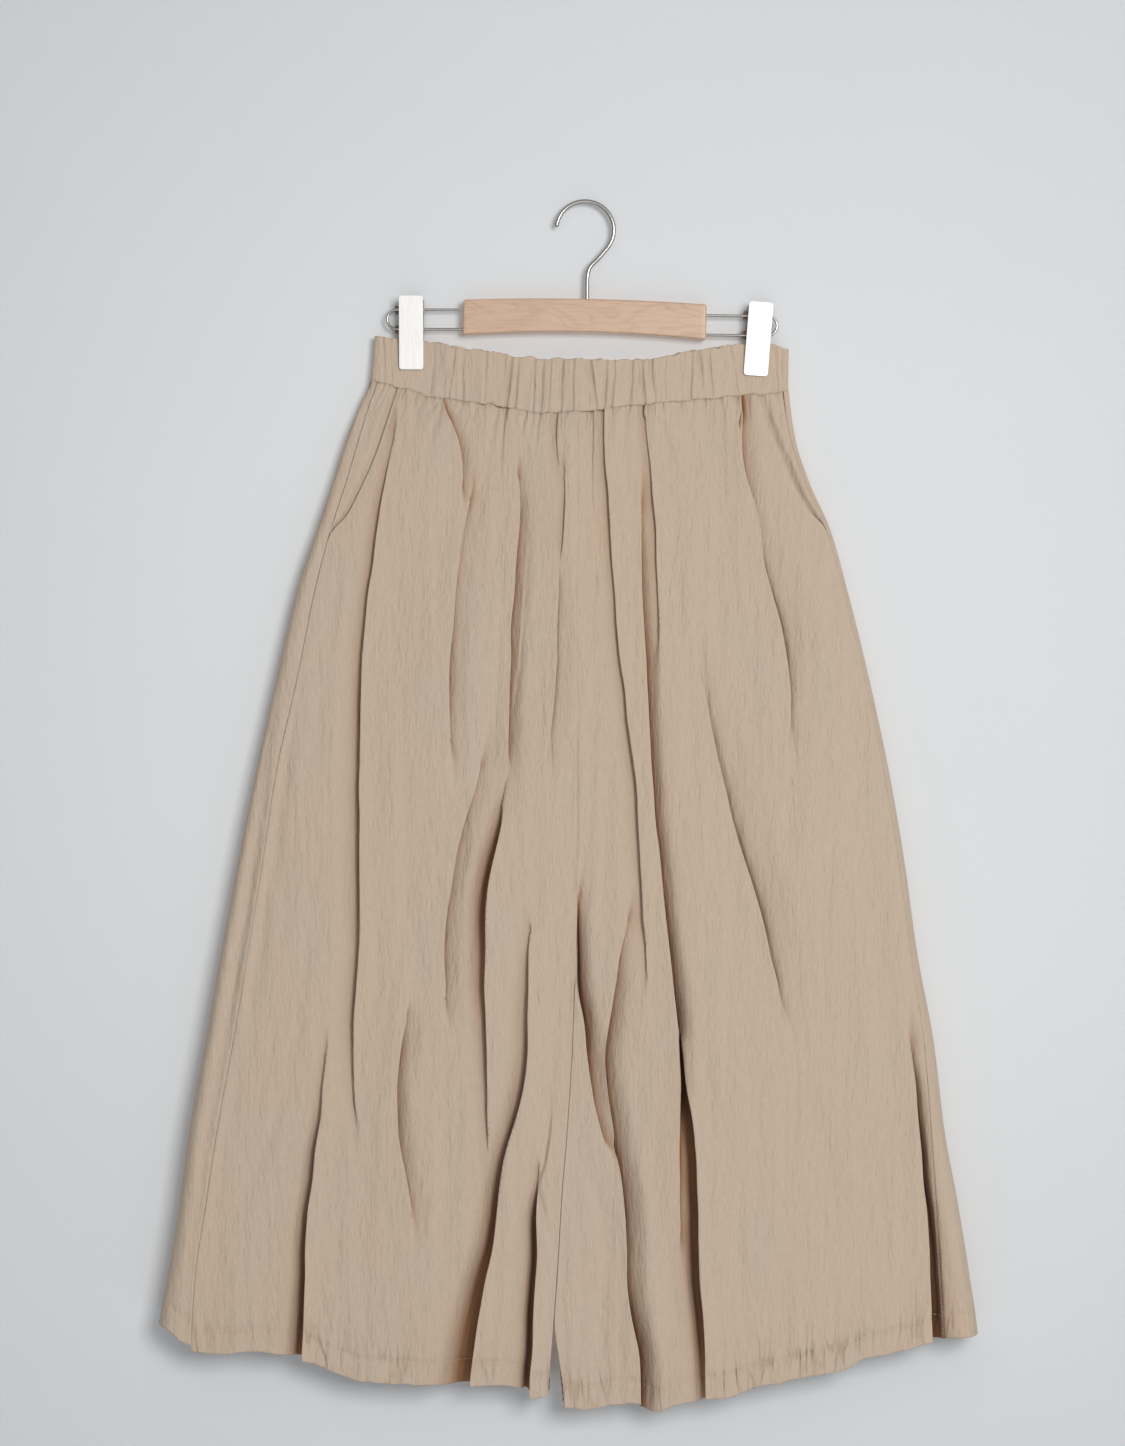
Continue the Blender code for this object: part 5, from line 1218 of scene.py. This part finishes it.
def sew(side, face, points, thread):
    """Stitches of a leg panel: along its hem, and beside the side seam in front."""
    lift = np.array((0.0, -1.0 if face == "front" else 1.0, 0.0))
    paths = [level_path(points, HEM_DEPTH)]
    if face == "front":
        from_seam = points if side == "left" else points[:, ::-1]
        paths.append(edge_path(from_seam, SEAM_STITCH, SEAM_STITCH_LOW,
                               POCKET_LINE[side][-1][0] - POCKET_TAIL))
    corners, faces = [], []
    for path in paths:
        stitch_row(np.array(path) + lift * STITCH_LIFT, lift, corners, faces)
    thing = mesh_object("stitches_%s_%s" % (face, side), corners, faces, thread)
    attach(thing, "root")
    return thing


# ---------------------------------------------------------------- hanger

def ring_faces(count, sides, inward=False):
    """Quads along a row of rings, and a cap on each end."""
    faces = []
    for r in range(count - 1):
        for c in range(sides):
            near, far, d = r * sides, (r + 1) * sides, (c + 1) % sides
            quad = (near + c, near + d, far + d, far + c)
            faces.append((quad[0], *quad[:0:-1]) if inward else quad)
    caps = [tuple(range(sides))[::-1], tuple((count - 1) * sides + c for c in range(sides))]
    return faces + [cap[::-1] if inward else cap for cap in caps]


def wire_mesh(name, path, radius, sides, axes_of, material):
    """A round wire along a path; axes_of gives two axes across it."""
    path = np.asarray(path, float)
    tangent = np.gradient(path, axis=0)
    tangent /= np.linalg.norm(tangent, axis=1)[:, None]
    first, second = axes_of(path, tangent)
    turn = np.linspace(0.0, 2.0 * math.pi, sides, endpoint=False)[None, :, None]
    radius = np.broadcast_to(radius, len(path))[:, None, None]
    rings = path[:, None, :] + radius * (np.cos(turn) * first[:, None, :]
                                         + np.sin(turn) * second[:, None, :])
    return mesh_object(name, rings, ring_faces(len(path), sides), material)


def flat_axes(path, tangent):
    """Axes across a wire that lies in the plane y = 0."""
    none = np.zeros(len(path))
    return (np.stack([-tangent[:, 2], none, tangent[:, 0]], axis=1),
            np.stack([none, none + 1.0, none], axis=1))


def coil_axes(path, tangent):
    """Axes across a wire that is wound round the X axis."""
    out = path * np.array((0.0, 1.0, 1.0))
    out /= np.linalg.norm(out, axis=1)[:, None]
    return out, np.cross(tangent, out)


def evenly(path, count):
    """Evenly spaced points along a path."""
    path = np.asarray(path, float)
    run = run_along(path)
    return place_at(np.linspace(0.0, run[-1], count), run, path).T


def make_hook(material):
    """Open round hook with a rounded tip."""
    centre_z = -HOOK_RADIUS + HOOK_WIRE
    arc = np.radians(np.linspace(HOOK_TIP_ANGLE, HOOK_TURN_ANGLE, 60))
    path = [(HOOK_RADIUS * math.cos(a), 0.0, centre_z + HOOK_RADIUS * math.sin(a)) for a in arc]
    foot_z, foot_x = zip((path[-1][2], path[-1][0]), *((z, x) for x, z in HOOK_FOOT))
    for z in np.linspace(foot_z[0], foot_z[-1], 44)[1:]:
        path.append((float(follow(foot_z, foot_x, z)), 0.0, z))
    path = np.array(path)
    tip = path[0] - path[1]
    tip /= np.linalg.norm(tip)
    cap = np.radians((90.0, 70.0, 50.0, 30.0, 12.0))
    caps = [path[0] + tip * HOOK_WIRE * math.sin(a) for a in cap]
    radii = [HOOK_WIRE * max(math.cos(a), 0.02) * (1.0 + HOOK_SWELL) for a in cap]
    swell = 1.0 + HOOK_SWELL * np.exp(-np.arange(len(path)) / 3.0)
    return wire_mesh("hook_wire", np.vstack([caps, path]),
                     np.concatenate([radii, HOOK_WIRE * swell]), WIRE_SIDES, flat_axes, material)


def make_rod(side, material):
    """One bent rod: in the bar, out, round its end and back."""
    rod = RODS[side]
    out = -TOWARD[side]
    start = out * (BAR_LENGTH / 2.0 - ROD_SEAT)
    half = ROD_SPACING / 2.0
    bend = [(rod.turn_x + out * half * math.cos(a), 0.0, rod.turn_z + half * math.sin(a))
            for a in np.radians(np.linspace(90.0, -90.0, 30))]
    upper = evenly([(start, 0.0, rod.bar_z + half), bend[0]], 14)[:-1]
    lower = evenly([bend[-1], (start, 0.0, rod.bar_z - half)], 14)[1:]
    return wire_mesh("rod_wire_" + side, np.vstack([upper, bend, lower]), ROD_WIRE, WIRE_SIDES,
                     flat_axes, material)


def turned(x, z, degrees):
    """Place of a part of the hanger that is turned in its plane."""
    return Matrix.Translation((x, 0.0, z)) @ Matrix.Rotation(math.radians(degrees), 4, "Y")


def make_bar(material):
    """Arched wooden bar with softly rounded edges."""
    steps, corner = BAR_STEPS
    place = turned(BAR_CENTRE[0], BAR_CENTRE[2], BAR_TILT)
    ring = []
    for side_y, side_z, first in ((-1, 1, 90.0), (-1, -1, 180.0), (1, -1, 270.0), (1, 1, 0.0)):
        for i in range(corner + 1):
            a = math.radians(first + 90.0 * i / corner)
            ring.append((side_y, side_z, math.cos(a), math.sin(a)))
    ends = [(-BAR_LENGTH / 2.0 + BAR_ROUND * (1.0 - np.cos(a)), BAR_ROUND * (1.0 - math.sin(a)))
            for a in quarter(6)]
    middle = np.linspace(ends[-1][0], -ends[-1][0], steps)[1:-1]
    slices = ends + [(x, 0.0) for x in middle] + [(-x, inset) for x, inset in ends[::-1]]
    points = []
    for x, inset in slices:
        arch = 1.0 - (x / (BAR_LENGTH / 2.0)) ** 2
        top = BAR_HEIGHT / 2.0 + BAR_TOP_RISE * arch - inset
        bottom = -BAR_HEIGHT / 2.0 + BAR_BOTTOM_RISE * arch + inset
        for side_y, side_z, c, s in ring:
            y = side_y * (BAR_DEPTH / 2.0 - inset - BAR_ROUND) + BAR_ROUND * c
            z = (top - BAR_ROUND if side_z > 0 else bottom + BAR_ROUND) + BAR_ROUND * s
            points.append(place @ Vector((x, y, z)))
    return mesh_object("bar_of_wood", points, ring_faces(len(slices), len(ring), True), material)


def jaw_face(z):
    """Inner face of a jaw's sheet at height z over the pin."""
    rise = max(0.0, z - CLIP_BEND)
    return CLIP_PINCH + (CLIP_MOUTH - CLIP_PINCH) * rise / (CLIP_TOP - CLIP_BEND)


def jaw_half(z):
    """Half width of a jaw at height z, less at its rounded corners."""
    near = min(CLIP_TOP - z, z - CLIP_BOTTOM)
    return CLIP_WIDTH / 2.0 - CLIP_CORNER * (1.0 - float(rounding(near, CLIP_CORNER)))


BOX_FACES = ((0, 1, 3, 2), (4, 6, 7, 5), (0, 4, 5, 1), (2, 3, 7, 6), (0, 2, 6, 4), (1, 5, 7, 3))


def add_box(points, faces, *spans):
    """Add a box to lists of points and faces, from its spans along x, y and z."""
    base = len(points)
    x_span, y_span, z_span = (sorted(span) for span in spans)
    points += [(x, y, z) for x in x_span for y in y_span for z in z_span]
    for quad in BOX_FACES:
        faces.append(tuple(base + i for i in quad))


def jaw_sheet(heights, sign):
    """Points and faces of a jaw's bent sheet with rounded corners."""
    across = np.linspace(-1.0, 1.0, 9)
    n, m = len(heights), len(across)
    points = [(t * jaw_half(z), sign * (jaw_face(z) + CLIP_SHEET * (1 - layer)), z)
              for layer in (0, 1) for z in heights for t in across]

    def at(layer, r, c):
        return (layer * n + r) * m + c

    faces = []
    for r in range(n - 1):
        for c in range(m - 1):
            faces.append((at(0, r, c), at(0, r + 1, c), at(0, r + 1, c + 1), at(0, r, c + 1)))
            faces.append((at(1, r, c), at(1, r, c + 1), at(1, r + 1, c + 1), at(1, r + 1, c)))
    rim = [(0, c) for c in range(m)] + [(r, m - 1) for r in range(1, n)]
    rim += [(n - 1, c) for c in range(m - 2, -1, -1)] + [(r, 0) for r in range(n - 2, 0, -1)]
    for a, b in zip(rim, rim[1:] + rim[:1]):
        faces.append((at(0, *a), at(0, *b), at(1, *b), at(1, *a)))
    return points, faces if sign < 0 else [quad[::-1] for quad in faces]


def bevelled(thing, width):
    """Round an object's sharp edges and even its shading."""
    edge = thing.modifiers.new("edge", "BEVEL")
    edge.width = width
    edge.segments = 2
    edge.limit_method = "ANGLE"
    edge.angle_limit = math.radians(BEVEL_ANGLE)
    thing.modifiers.new("shade", "WEIGHTED_NORMAL").keep_sharp = True
    return thing


def make_jaw(label, side, material):
    """One jaw: the front one with ears over the rods, the back one with lugs and guides."""
    outer = CLIP_WIDTH / 2.0 - EAR_INSET
    drops = [CLIP_CORNER * (1.0 - math.cos(a)) for a in quarter(7)]
    between = np.linspace(CLIP_TOP - CLIP_CORNER, CLIP_BOTTOM + CLIP_CORNER, 16)
    heights = [CLIP_TOP - drop for drop in drops] + list(between)
    heights += [CLIP_BOTTOM + drop for drop in drops]
    heights = sorted({round(z, 6) for z in heights}, reverse=True)
    points, faces = jaw_sheet(heights, -1.0 if label == "front" else 1.0)
    for out in (-1.0, 1.0):
        if label == "front":
            add_box(points, faces, (out * outer, out * (outer - EAR_SHEET)),
                    (-jaw_face(-EAR_HEIGHT / 2.0) - EAR_LAP, EAR_REACH),
                    (-EAR_HEIGHT / 2.0, EAR_HEIGHT / 2.0))
        else:
            edge = outer - EAR_SHEET - CLIP_PLAY
            add_box(points, faces, (out * edge, out * (edge - EAR_SHEET)),
                    (-LUG_REACH, jaw_face(0.0) + LUG_LAP), (-LUG_HEIGHT / 2.0, LUG_HEIGHT / 2.0))
    if label == "back":
        for rod_z in (ROD_SPACING / 2.0, -ROD_SPACING / 2.0):
            add_box(points, faces,
                    (-CLIP_WIDTH / 2.0 - GUIDE_REACH, -CLIP_WIDTH / 2.0 + GUIDE_LAP),
                    (ROD_WIRE + GUIDE_PLAY, jaw_face(rod_z) + LUG_LAP),
                    (rod_z - GUIDE_HALF, rod_z + GUIDE_HALF))
    return bevelled(mesh_object("%s_jaw_%s" % (label, side), points, faces, material), JAW_BEVEL)


def make_pad(label, side, material):
    """A ribbed grip pad between a jaw and the waistband."""
    sign = -1.0 if label == "front" else 1.0
    step = PAD_HEIGHT / PAD_RIBS
    low = CLIP_BOTTOM + PAD_INSET
    points, faces = [], []
    for k in range(PAD_RIBS):
        add_box(points, faces, (-PAD_WIDTH / 2.0, PAD_WIDTH / 2.0),
                (sign * (BAND[3].depth + CLIP_PLAY), sign * (CLIP_PINCH - CLIP_PLAY)),
                (low + step * k + PAD_GROOVE, low + step * (k + 1)))
    return bevelled(mesh_object("%s_pad_%s" % (label, side), points, faces, material), PAD_BEVEL)


def make_clip(side, steel, dark, rubber):
    """Spring clip: two jaws, a pin, a coil spring and two pads, each with its material slot."""
    clip = CLIPS[side]
    reach = CLIP_WIDTH / 2.0 - EAR_INSET
    made = {"front_jaw": (make_jaw("front", side, steel), "clip"),
            "back_jaw": (make_jaw("back", side, dark), "clip")}
    pin = wire_mesh("pin_" + side, [(t, 0.0, 0.0) for t in np.linspace(-reach, reach, 5)],
                    PIN_RADIUS, WIRE_SIDES, flat_axes, dark)
    made["pin"] = bevelled(pin, PIN_BEVEL), "spring"
    coil = []
    for i in range(SPRING_STEPS + 1):
        t = i / SPRING_STEPS
        a = 2.0 * math.pi * SPRING_TURNS * t
        coil.append((-0.45 * SPRING_LENGTH + 0.9 * SPRING_LENGTH * t,
                     SPRING_WIND * math.cos(a), SPRING_WIND * math.sin(a)))
    made["spring"] = wire_mesh("spring_" + side, coil, SPRING_WIRE, 8, coil_axes, dark), "spring"
    for label in ("front", "back"):
        made[label + "_pad"] = make_pad(label, side, rubber), "grip"
    for node, (thing, slot) in made.items():
        thing.data.transform(turned(clip.x, clip.z, clip.tilt))
        place_piece(thing, "clip_%s_%s" % (side, node))


# ---------------------------------------------------------------- materials

def connect(tree, socket, value):
    """Feed an input from an output, or give it a number, a vector or a colour."""
    if hasattr(value, "links"):
        tree.links.new(value, socket)
    elif socket.type == "RGBA":
        socket.default_value = (*value, 1.0)
    else:
        socket.default_value = value


def node(tree, kind, output, inputs, **settings):
    """One output of a new node, with its inputs fed or set and its fields set."""
    made = tree.nodes.new("ShaderNode" + kind)
    for key, value in settings.items():
        setattr(made, key, value)
    for key, value in inputs.items():
        connect(tree, made.inputs[key], value)
    return made.outputs[output]


def shader_material(name, colour, roughness, **more):
    """A Principled material, its node tree and its shader."""
    material = bpy.data.materials.new(name)
    material.use_nodes = True
    tree = material.node_tree
    shader = tree.nodes["Principled BSDF"]
    shader.inputs["Base Color"].default_value = (*colour, 1.0)
    shader.inputs["Roughness"].default_value = roughness
    for key, value in more.items():
        shader.inputs[key.replace("_", " ")].default_value = value
    return material, tree, shader


def noise(tree, scale, detail=3.0, roughness=0.5, distortion=0.0):
    """A noise texture's grey output, its object coordinates scaled along each axis."""
    place = node(tree, "TexCoord", "Object", {})
    vector = node(tree, "Mapping", "Vector", {"Vector": place, "Scale": scale})
    return node(tree, "TexNoise", "Fac", {
        "Vector": vector, "Scale": 1.0, "Detail": detail, "Roughness": roughness,
        "Distortion": distortion})


def tinted(colour, share):
    return tuple(min(share * c, 1.0) for c in colour)


def ramp(tree, source, *stops):
    """Colours along a grey source, from (place, colour) stops."""
    made = tree.nodes.new("ShaderNodeValToRGB")
    marks = made.color_ramp.elements
    while len(marks) < len(stops):
        marks.new(0.5)
    for mark, (place, colour) in zip(marks, stops):
        mark.position = place
        mark.color = (*colour, 1.0)
    tree.links.new(source, made.inputs["Fac"])
    return made.outputs["Color"]


def blend_colours(tree, a, b, share, mode="MIX"):
    """Two colours mixed; share is a number or a socket."""
    return node(tree, "Mix", 2, {6: a, 7: b, 0: share}, data_type="RGBA", blend_type=mode)


def arithmetic(tree, operation, *values):
    """A math node on numbers or sockets."""
    return node(tree, "Math", 0, dict(enumerate(values)), operation=operation)


def mark_of(tree, label):
    """A value that the mesh carries for each of its points."""
    return node(tree, "Attribute", "Fac", {}, attribute_name=label)


def bump(tree, shader, *layers):
    """Chain of bumps from (height socket, strength, distance) layers into the shader."""
    last = {}
    for height, strength, distance in layers:
        last["Normal"] = node(tree, "Bump", "Normal", {
            "Strength": strength, "Distance": distance, "Height": height, **last})
    tree.links.new(last["Normal"], shader.inputs["Normal"])


def cloth_material():
    """Sand linen and cotton crepe: fine upright crinkles, slubs and a plain weave, with painted
    shade in its folds and along its puckers.
    """
    material, tree, shader = shader_material(
        "cloth_crepe", CLOTH, 0.86, Specular_IOR_Level=0.22, Sheen_Weight=0.12, Sheen_Roughness=0.5)
    low, high = tinted(CLOTH, 0.93), tinted(CLOTH, 1.07)
    warm = (CLOTH[0] * 1.02, CLOTH[1] * 0.985, CLOTH[2] * 0.95)
    cool = (CLOTH[0] * 0.98, CLOTH[1] * 1.005, CLOTH[2] * 1.04)
    slub = noise(tree, (620.0, 620.0, 120.0), 5.0, 0.65)
    cross = noise(tree, (90.0, 90.0, 600.0), 3.0, 0.6)
    patch = noise(tree, (16.0, 16.0, 9.0), 2.0)
    colour = ramp(tree, slub, (0.30, low), (0.70, high))
    colour = blend_colours(tree, colour, ramp(tree, cross, (0.35, low), (0.65, high)), 0.16)
    colour = blend_colours(tree, colour, ramp(tree, patch, (0.35, warm), (0.65, cool)), 0.35)
    # Painted shade: the fold mark darkens the colour towards warm brown in and beside each fold's
    # recess.
    fold_shade_colour = ramp(tree, mark_of(tree, "fold_shade"), *PAINTED_FOLD_SHADE)
    colour = blend_colours(tree, colour, fold_shade_colour, 1.0, "MULTIPLY")
    gather = noise(tree, (115.0, 8.0, 20.0), 2.0, 0.4, 0.15)
    line = ramp(tree, gather, (0.42, BLACK), (0.49, WHITE), (0.56, BLACK))
    pull = arithmetic(tree, "MULTIPLY", line, mark_of(tree, "pucker"))
    # Painted shade along the pucker lines. The same lines also bump the surface below as real
    # relief.
    colour = blend_colours(tree, colour, PAINTED_PUCKER_SHADE, pull, "MULTIPLY")
    tree.links.new(colour, shader.inputs["Base Color"])
    bump(tree, shader,
         (noise(tree, (68.0, 8.0, 9.0), 2.0), 0.7, 0.0036),
         (noise(tree, (150.0, 150.0, 48.0), 3.0, 0.55), 0.7, 0.0022),
         (arithmetic(tree, "SUBTRACT", 1.0, pull), 1.0, 0.0010),
         (noise(tree, (560.0, 560.0, 130.0), 4.0, 0.6), 0.85, 0.0011),
         (noise(tree, (1500.0, 1500.0, 1500.0), 2.0, 0.6), 0.5, 0.00025))
    return material


def wood_material():
    """Pale beech with long cathedral grain and fine pores."""
    material, tree, shader = shader_material(
        "wood_beech", (0.55, 0.37, 0.25), 0.42, Coat_Weight=0.15, Coat_Roughness=0.35)
    bands = noise(tree, (13.0, 60.0, 48.0), 2.0, 0.45, 0.6)
    saw = arithmetic(tree, "FRACT", arithmetic(tree, "MULTIPLY", bands, 9.0))
    colour = ramp(tree, saw, (0.0, (0.585, 0.396, 0.277)), (0.50, BEECH),
                  (0.86, (0.540, 0.352, 0.240)), (1.0, BEECH))
    pores = noise(tree, (60.0, 900.0, 1400.0), 2.0)
    dark = ramp(tree, pores, (0.35, (0.80, 0.78, 0.75)), (0.55, WHITE))
    colour = blend_colours(tree, colour, dark, 0.55, "MULTIPLY")
    tree.links.new(colour, shader.inputs["Base Color"])
    bump(tree, shader, (pores, 0.25, 0.0001))
    return material


def grained_material(name, colour, roughness, grain, low, high, relief, fine=0.5, metallic=0.0):
    """Metal, thread or rubber with fine streaks or specks and a bump from them."""
    material, tree, shader = shader_material(name, colour, roughness, Metallic=metallic)
    streaks = noise(tree, grain, roughness=fine)
    tree.links.new(ramp(tree, streaks, (0.3, low), (0.7, high)), shader.inputs["Base Color"])
    bump(tree, shader, (streaks, *relief))
    return material


def metal_material(name, colour, roughness, grain, depth, metallic=1.0):
    """Metal with fine streaks."""
    return grained_material(name, colour, roughness, grain, tinted(colour, 0.94),
                            tinted(colour, 1.04), (0.3, depth), 0.6, metallic)


def wall_material(name, colour, one_sided):
    """Matt paint. A one-sided wall darkens outwards with painted shade, and is clear from behind.
    """
    material, tree, shader = shader_material(name, colour, 0.9, Specular_IOR_Level=0.1)
    paint = ramp(tree, noise(tree, (3.0, 3.0, 3.0)), (0.3, tinted(colour, 0.985)), (0.7, colour))
    if one_sided:
        # Painted shade: the colour darkens with distance from the wall's middle, as the light falls
        # off towards the edges.
        offset = node(tree, "Mapping", "Vector", {
            "Vector": node(tree, "TexCoord", "Object", {}), "Location": WALL_FALLOFF_CENTRE,
            "Scale": (1.0, 0.0, 1.0)})
        distance = node(tree, "VectorMath", "Value", {0: offset}, operation="LENGTH")
        painted_falloff = ramp(tree, distance, (0.35, WHITE), (0.85, PAINTED_WALL_FALLOFF))
        paint = blend_colours(tree, paint, painted_falloff, 1.0, "MULTIPLY")
        clear = node(tree, "BsdfTransparent", "BSDF", {})
        behind = node(tree, "NewGeometry", "Backfacing", {})
        mix = node(tree, "MixShader", "Shader", {
            "Fac": behind, 1: shader.outputs["BSDF"], 2: clear})
        tree.links.new(mix, tree.nodes["Material Output"].inputs["Surface"])
    tree.links.new(paint, shader.inputs["Base Color"])
    return material


# ---------------------------------------------------------------- light and camera

def stage_plane(name, corners, material):
    """A flat stage piece."""
    thing = mesh_object(name, corners, [(0, 1, 2, 3)], material)
    return thing


def make_stage():
    """A wall close behind the garment, and a floor."""
    reach = STAGE_REACH
    low_y = WALL_TOP_Y - WALL_LEAN * FLOOR_Z
    high_y = WALL_TOP_Y - WALL_LEAN * reach
    wall = stage_plane("wall", [(-reach, low_y, FLOOR_Z), (reach, low_y, FLOOR_Z),
                                (reach, high_y, reach), (-reach, high_y, reach)],
                       wall_material("wall_paint_and_falloff_shade", WALL_COLOUR, True))
    wall.visible_shadow = False
    floor = stage_plane("floor", [(-reach, -reach, FLOOR_Z), (reach, -reach, FLOOR_Z),
                                  (reach, reach, FLOOR_Z), (-reach, reach, FLOOR_Z)],
                        wall_material("floor_paint", FLOOR_COLOUR, False))
    return [wall, floor]


def make_camera():
    """Camera square to the wall, at the photograph's framing."""
    data = bpy.data.cameras.new("camera")
    data.lens = CAMERA_LENS
    data.sensor_fit = "VERTICAL"
    data.sensor_height = SENSOR
    camera = bpy.data.objects.new("camera", data)
    bpy.context.scene.collection.objects.link(camera)
    across, down = (PHOTO[k] / 2.0 - ORIGIN_PIXEL[k] for k in range(2))
    camera.location = (across * PIXEL, -PHOTO[1] * PIXEL * CAMERA_LENS / SENSOR, -down * PIXEL)
    camera.rotation_euler = (math.radians(90.0), 0.0, 0.0)
    bpy.context.scene.camera = camera


def make_light(stage):
    """Key light from the right and a little above, soft fill all round."""
    scene = bpy.context.scene
    part = [thing for thing in scene.objects if thing.type == "MESH" and thing not in stage]
    for row in LIGHTS:
        data = bpy.data.lights.new(row.name, "AREA")
        data.size = row.size
        data.energy = row.power
        data.color = row.colour
        light = bpy.data.objects.new(row.name, data)
        scene.collection.objects.link(light)
        light.location = row.place
        aim = Vector(LIGHT_AIM) - Vector(row.place)
        light.rotation_euler = aim.to_track_quat("-Z", "Y").to_euler()
        if row.falls_on:
            group = bpy.data.collections.new(row.name + "_falls_on")
            for thing in part if row.falls_on == "part" else stage:
                group.objects.link(thing)
            light.light_linking.receiver_collection = group
    world = bpy.data.worlds.new("studio")
    world.use_nodes = True
    sky = world.node_tree.nodes["Background"]
    sky.inputs["Color"].default_value = SKY
    sky.inputs["Strength"].default_value = SKY_STRENGTH
    scene.world = world
    scene.view_settings.view_transform = "Standard"


# ---------------------------------------------------------------- build

def place_piece(thing, node_name):
    """A piece that stands for a CAD node: hung on the root body, with the node hidden."""
    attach(thing, "root")
    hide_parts(node_name)


def make_cloth(cloth, thread):
    """The cloth pieces, each a sheet in the place of its node, and their stitches."""
    for side, folds in FOLDS.items():
        for face, make in (("front", front_panel), ("back", back_panel), ("pocket", pocket_piece)):
            points, thing = make(side, folds, cloth)
            place_piece(thing, "%s_%s" % (face, side))
            sewn = [] if face == "pocket" else [sew(side, face, points, thread)]
    for face in ("front", "back"):
        points, thing = waistband(face, cloth)
        place_piece(thing, "waistband_" + face)


def main():
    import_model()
    make_camera()
    cloth = cloth_material()
    thread = grained_material("thread", tinted(CLOTH, 1.06), 0.7, (2600.0, 2600.0, 2600.0),
                              tinted(CLOTH, 0.93), tinted(CLOTH, 1.12), (0.4, 0.0001))
    wood = wood_material()
    wire = metal_material("wire_chrome", (0.42, 0.40, 0.375), 0.27, (200.0, 200.0, 900.0), 0.00002)
    steel = metal_material("clip_satin", (0.86, 0.84, 0.81), 0.45, (900.0, 900.0, 14.0), 0.00003,
                           0.25)
    dark = metal_material("spring_dark", (0.16, 0.12, 0.09), 0.45, (300.0, 300.0, 300.0), 0.00003,
                          0.8)
    rubber = grained_material("rubber_grip", (0.045, 0.043, 0.042), 0.75, (900.0, 900.0, 900.0),
                              (0.035, 0.034, 0.033), (0.06, 0.058, 0.056), (0.4, 0.0002))
    make_cloth(cloth, thread)
    place_piece(make_hook(wire), "hook")
    place_piece(make_bar(wood), "wood_bar")
    for side in TOWARD:
        place_piece(make_rod(side, wire), "rod_" + side)
        make_clip(side, steel, dark, rubber)
    make_light(make_stage())


main()
